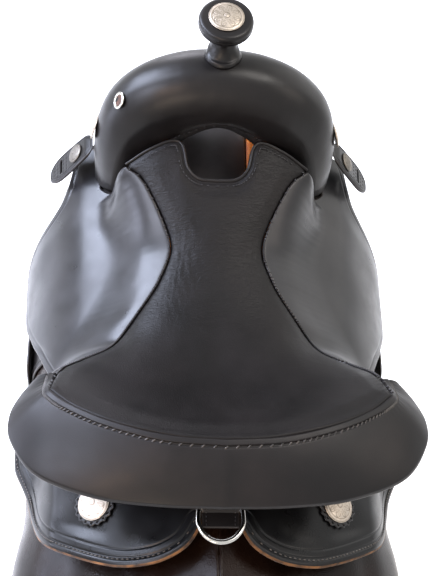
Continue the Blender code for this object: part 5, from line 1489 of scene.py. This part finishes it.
half_frame = spline(STIRRUP_FRAME, 110)
whole = np.concatenate([half_frame, half_frame[-2::-1] * (-1, 1, 1, 1)])
frame_ahead = unit(np.gradient(whole[:, :2], axis=0))
turn = np.linspace(0, 2 * math.pi, 40, endpoint=False)
round_x = np.sign(np.cos(turn)) * abs(np.cos(turn)) ** 0.55
round_y = np.sign(np.sin(turn)) * abs(np.sin(turn)) ** 0.75
for word, side in SIDES:
    deep, thick = whole[:, 3:] * round_x, whole[:, 2:3] * round_y
    rings = np.stack([side * (BOLT_X + deep),
                      PIVOT_Y + whole[:, :1] - thick * frame_ahead[:, 1:],
                      BOLT_Z + whole[:, 1:2] + thick * frame_ahead[:, :1]], -1)
    add_loft("stirrup_cover_" + word, rings, strap_leather, body="stirrup_" + word,
             slot="polished_leather", instead_of=["stirrup_" + word])
    outward = np.stack([0 * whole[:, 0], -frame_ahead[:, 1], frame_ahead[:, 0]], -1)
    outward *= np.sign((outward * (whole[:, [0, 0, 1]] * (0, 1, 1) + (0, 0, 0.07))).sum(-1,
                                                                          keepdims=True))
    path = np.stack([np.full(len(whole), side * BOLT_X), PIVOT_Y + whole[:, 0],
                     BOLT_Z + whole[:, 1]], -1) + outward * whole[:, 2:3]
    add_stitches("stirrup_thread_" + word, path[8:-8], outward[8:-8], thread, pitch=0.0044,
                 body="stirrup_" + word)
print("stirrups made")

# %% [markdown]
# ## Front binding of the seat
# A folded strip binds the front edge, from the tip of one ear round the notch to the other, with
# a row of stitches behind it.

# %% Front binding
front_row = seat_surface(241, 91)[0]
front_row = evenly(front_row, 300)
row_ahead = unit(np.gradient(front_row, axis=0))
row_front = unit(np.stack([-row_ahead[:, 1], row_ahead[:, 0], 0 * row_ahead[:, 0]], -1))
row_front *= np.sign(row_front[150, 1])
row_up = np.cross(row_front, row_ahead)
row_up *= np.sign(row_up[:, 2:])
binding = sweep(front_row + row_front * 0.0030 - row_up * 0.0034, row_up, 0.0022, 0.0043,
                around=20)
add_loft("notch_binding_leather", binding, swell_leather, slot="seat_leather",
         instead_of=["notch_binding"])
ear_path = front_row - row_front * 0.0042 + row_up * 0.0006
add_stitches("seat_front_thread", ear_path[4:-4], row_up[4:-4], thread, pitch=0.0036,
             long=0.0027, wide=0.0010, proud=0.0006)
print("front edge bound")

# %% [markdown]
# ## Cantle back
# Under the roll, smooth leather closes the back of the cantle down to the bars.

# %% Cantle back
deep_seat = (seat_base - seat_up * (FOAM_LOW + GAP))[173:]
inner_line, under_line = roll_rings[:, 0], roll_rings[:, len(u_top[0]) + 15 + 5]
nearest = np.argmin(np.linalg.norm(inner_line[None] - seat_base[-1][:, None], axis=2), axis=1)
reach = 0.72 - 0.42 * ramp(abs(seat_base[-1, :, 0]), 0.125, 0.161)[:, None]
rim = inner_line[nearest] + (under_line - inner_line)[nearest] * reach - (0, 0, 0.0022)
wall_top = np.concatenate([deep_seat[:-1, 0], rim, deep_seat[-2::-1, -1]])
wall_low = wall_top.copy()
rear_part = np.zeros(len(wall_top))
rear_part[len(deep_seat) - 1:1 - len(deep_seat)] = 1 - ramp(abs(rim[:, 0]), 0.09, 0.15)
wall_low[:, 1] += 0.008 * rear_part
wall_low[:, 2] = bar_top_height(wall_low[:, 0], wall_low[:, 1]) + 0.0024
wall_low[:, 2] = np.minimum(wall_low[:, 2], wall_top[:, 2] - 0.004)
part = np.linspace(0.05, 0.97, 40)[:, None, None]
wall = wall_top * (1 - part) + wall_low * part
wall_ahead = unit(np.gradient(wall_top, axis=0))
inward = unit(np.stack([-wall_ahead[:, 1], wall_ahead[:, 0], 0 * wall_ahead[:, 0]], -1))
inward *= np.sign(inward[len(inward) // 2, 1])
wall = wall + inward * (0.0004 * waves(wall, 0.040, 91))[..., None]
add_sheet("cantle_back_leather", wall, wall + inward * 0.0022, swell_leather,
          slot="seat_leather", instead_of=["cantle_back"])
print("cantle back closed")

# %% [markdown]
# ## Tree and strainer
# What stays of the solids is inside: the bars, the fork and the seat's ground work.  The bars and
# the fork are bound in rawhide.  It is amber where the handhole shows it; further out and back it
# is painted dark, as painted shade where it shows through gaps between other pieces.  The
# strainer under the handhole is covered in black leather, painted a lighter grey as painted
# light, since it lies deep in shade.

# %% Tree and strainer
ground_leather = fibrous("ground_seat_leather", "#1b1613", "#2a211b", 0.75, 700.0, 0.5)
bar_place = node(rawhide.node_tree, "TexCoord").outputs["Object"]
bar_along = node(rawhide.node_tree, "SeparateXYZ", {0: bar_place})
bar_out = node(rawhide.node_tree, "Math", {0: bar_along.outputs[0]},
               operation="ABSOLUTE").outputs[0]
# Painted shade: the rawhide turns dark away from the handhole, so bar bits seen through gaps
# between pieces read as shaded.
painted_gap_shade = node(rawhide.node_tree, "Math",
                 {0: remap(rawhide.node_tree, bar_out, 0.062, 0.068, 0.0, 1.0),
                  1: remap(rawhide.node_tree, bar_along.outputs[1], 0.06, 0.03, 0.0, 1.0)},
                 operation="MAXIMUM").outputs[0]
amber = rawhide.node_tree.nodes["Principled BSDF"].inputs["Base Color"]
shaded = node(rawhide.node_tree, "Mix", {0: painted_gap_shade, 6: amber.links[0].from_socket},
              {7: linear("#171210")}, data_type="RGBA")
rawhide.node_tree.links.new(shaded.outputs[2], amber)
for name, kept in (("tree_bar_left", rawhide), ("tree_bar_right", rawhide), ("fork", rawhide),
                   ("ground_seat", ground_leather), ("cantle_core", ground_leather)):
    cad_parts[name].data.materials[0] = kept

strainer_y = np.linspace(0.116, 0.236, 60)
bar_edge = barrel(0.002, strainer_y, 0.0080)
across = np.linspace(-1, 1, 60)
strainer = np.stack([(bar_edge[:, :1] - GAP * 3 - 0.0035 * ramp(across, 0, 1)) * across,
                     np.broadcast_to(strainer_y[:, None], (60, 60)),
                     bar_edge[:, 2:] + 0.0060 * (1 - across ** 2)], -1)
# Painted light: the liner's black leather is given a lighter grey so it shows though it lies deep
# in the handhole's shade.
liner_painted_light = leather("gullet_liner_painted_light", "#454142", "#5f5a5b", 0.36, 0.9, 0.10, coat=0.2)
add_sheet("strainer_leather", strainer + (0, 0, 0.0030), strainer, liner_painted_light,
          slot="polished_leather", instead_of=["gullet_strainer"])
print("tree finished")

# %% [markdown]
# ## Studio
# The photograph is cut out on white, and a cool window at the upper left lights the saddle.  Black
# leather shows little but reflections, so each soft box is there for one of them: the window with
# its sky and side light on the left jockey, two small warm lamps on the roll, a ceiling light on
# the swell, and weak boxes on the right, far right and in front of the gullet.  Rays from the
# camera, from metal and through glass see a white world and a white floor, and everything else
# gets a dim world.  The floor is plain and pale, and it keeps the saddle's soft shadow.

# %% Studio


def soft_box(name, place, aim, size, watts, colour):
    """Square area light at a place, turned towards a point."""
    lamp = bpy.data.lights.new(name, "AREA")
    lamp.shape, lamp.size, lamp.energy = "SQUARE", size, watts
    lamp.color = linear(colour)[:3]
    box = bpy.data.objects.new(name, lamp)
    away = unit(np.asarray(place, float) - aim)
    aside = unit(np.cross((0, 0, 1) if abs(away[2]) < 0.99 else (0, 1, 0), away))
    turn = np.array([aside, np.cross(away, aside), away]).T
    box.matrix_world = Matrix.Translation(place) @ Matrix(turn.tolist()).to_4x4()
    bpy.context.scene.collection.objects.link(box)


soft_box("window", (-1.25, 0.75, 0.80), (-0.05, 0.05, 0.0), 0.85, 48.0, "#dce6ff")
soft_box("low", (-1.50, 0.05, 0.00), (0.0, -0.2, 0.0), 0.5, 7.0, "#dfe6ff")
soft_box("side", (-1.30, -0.45, 1.05), (0.0, -0.1, 0.05), 0.6, 16.0, "#e4eaff")
soft_box("warm", (-0.81, -0.89, 1.10), (0.0, -0.1, 0.05), 0.35, 4.5, "#ffd6b4")
soft_box("lamp", (-0.45, -1.35, 0.55), (0.0, 0.1, 0.1), 0.35, 4.0, "#ffe2c4")
soft_box("sky", (-1.05, 0.40, 1.37), (0.0, 0.05, 0.0), 0.5, 11.0, "#e0e8ff")
soft_box("ceiling", (0.80, 0.25, 1.70), (0.0, 0.0, 0.0), 0.8, 16.0, "#fffaf4")
soft_box("right", (1.35, -0.25, 0.95), (0.0, -0.1, 0.05), 0.6, 3.0, "#fff2e6")
soft_box("gullet", (-0.20, 1.20, 0.22), (0.0, 0.1, 0.05), 0.4, 3.0, "#f4f2ff")
soft_box("far_right", (1.20, 0.95, 0.50), (0.0, 0.1, 0.0), 1.2, 4.5, "#fbf8f4")

bpy.context.scene.view_settings.view_transform = "Standard"
world = bpy.data.worlds.new("studio")
bpy.context.scene.world = world
world.use_nodes = True
sky = world.node_tree.nodes["Background"]
sky.inputs["Color"].default_value = (1.0, 1.0, 1.0, 1.0)
def shown_white(tree):
    """1 for rays from the camera, from a mirror or through glass, else 0."""
    rays = node(tree, "LightPath").outputs
    mirrored_too = node(tree, "Math", {0: rays["Is Camera Ray"], 1: rays["Is Glossy Ray"]},
                        operation="MAXIMUM").outputs[0]
    return node(tree, "Math", {0: mirrored_too, 1: rays["Is Transmission Ray"]},
                operation="MAXIMUM").outputs[0]


world.node_tree.links.new(remap(world.node_tree, shown_white(world.node_tree), 0.0, 1.0, 0.20,
                                1.0), sky.inputs["Strength"])

paper, paper_tree, paper_shader = new_material("white_floor_paper", "#f7f7f7", 0.9)
paper_shader.inputs["Emission Color"].default_value = (1.0, 1.0, 1.0, 1.0)
paper_tree.links.new(remap(paper_tree, shown_white(paper_tree), 0.0, 1.0, 0.0, 0.85),
                     paper_shader.inputs["Emission Strength"])
floor_low = float(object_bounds()[0][2]) - 0.0005
floor_grid = np.array([[(x, y, floor_low) for x in (-6.0, 6.0)] for y in (-6.0, 6.0)])
floor_mesh = bpy.data.meshes.new("floor")
floor_mesh.from_pydata(floor_grid.reshape(-1, 3).tolist(), [], [(0, 1, 3, 2)])
floor_mesh.materials.append(paper)
floor_piece = bpy.data.objects.new("floor", floor_mesh)
bpy.context.scene.collection.objects.link(floor_piece)
print("floor at", round(floor_low, 4))
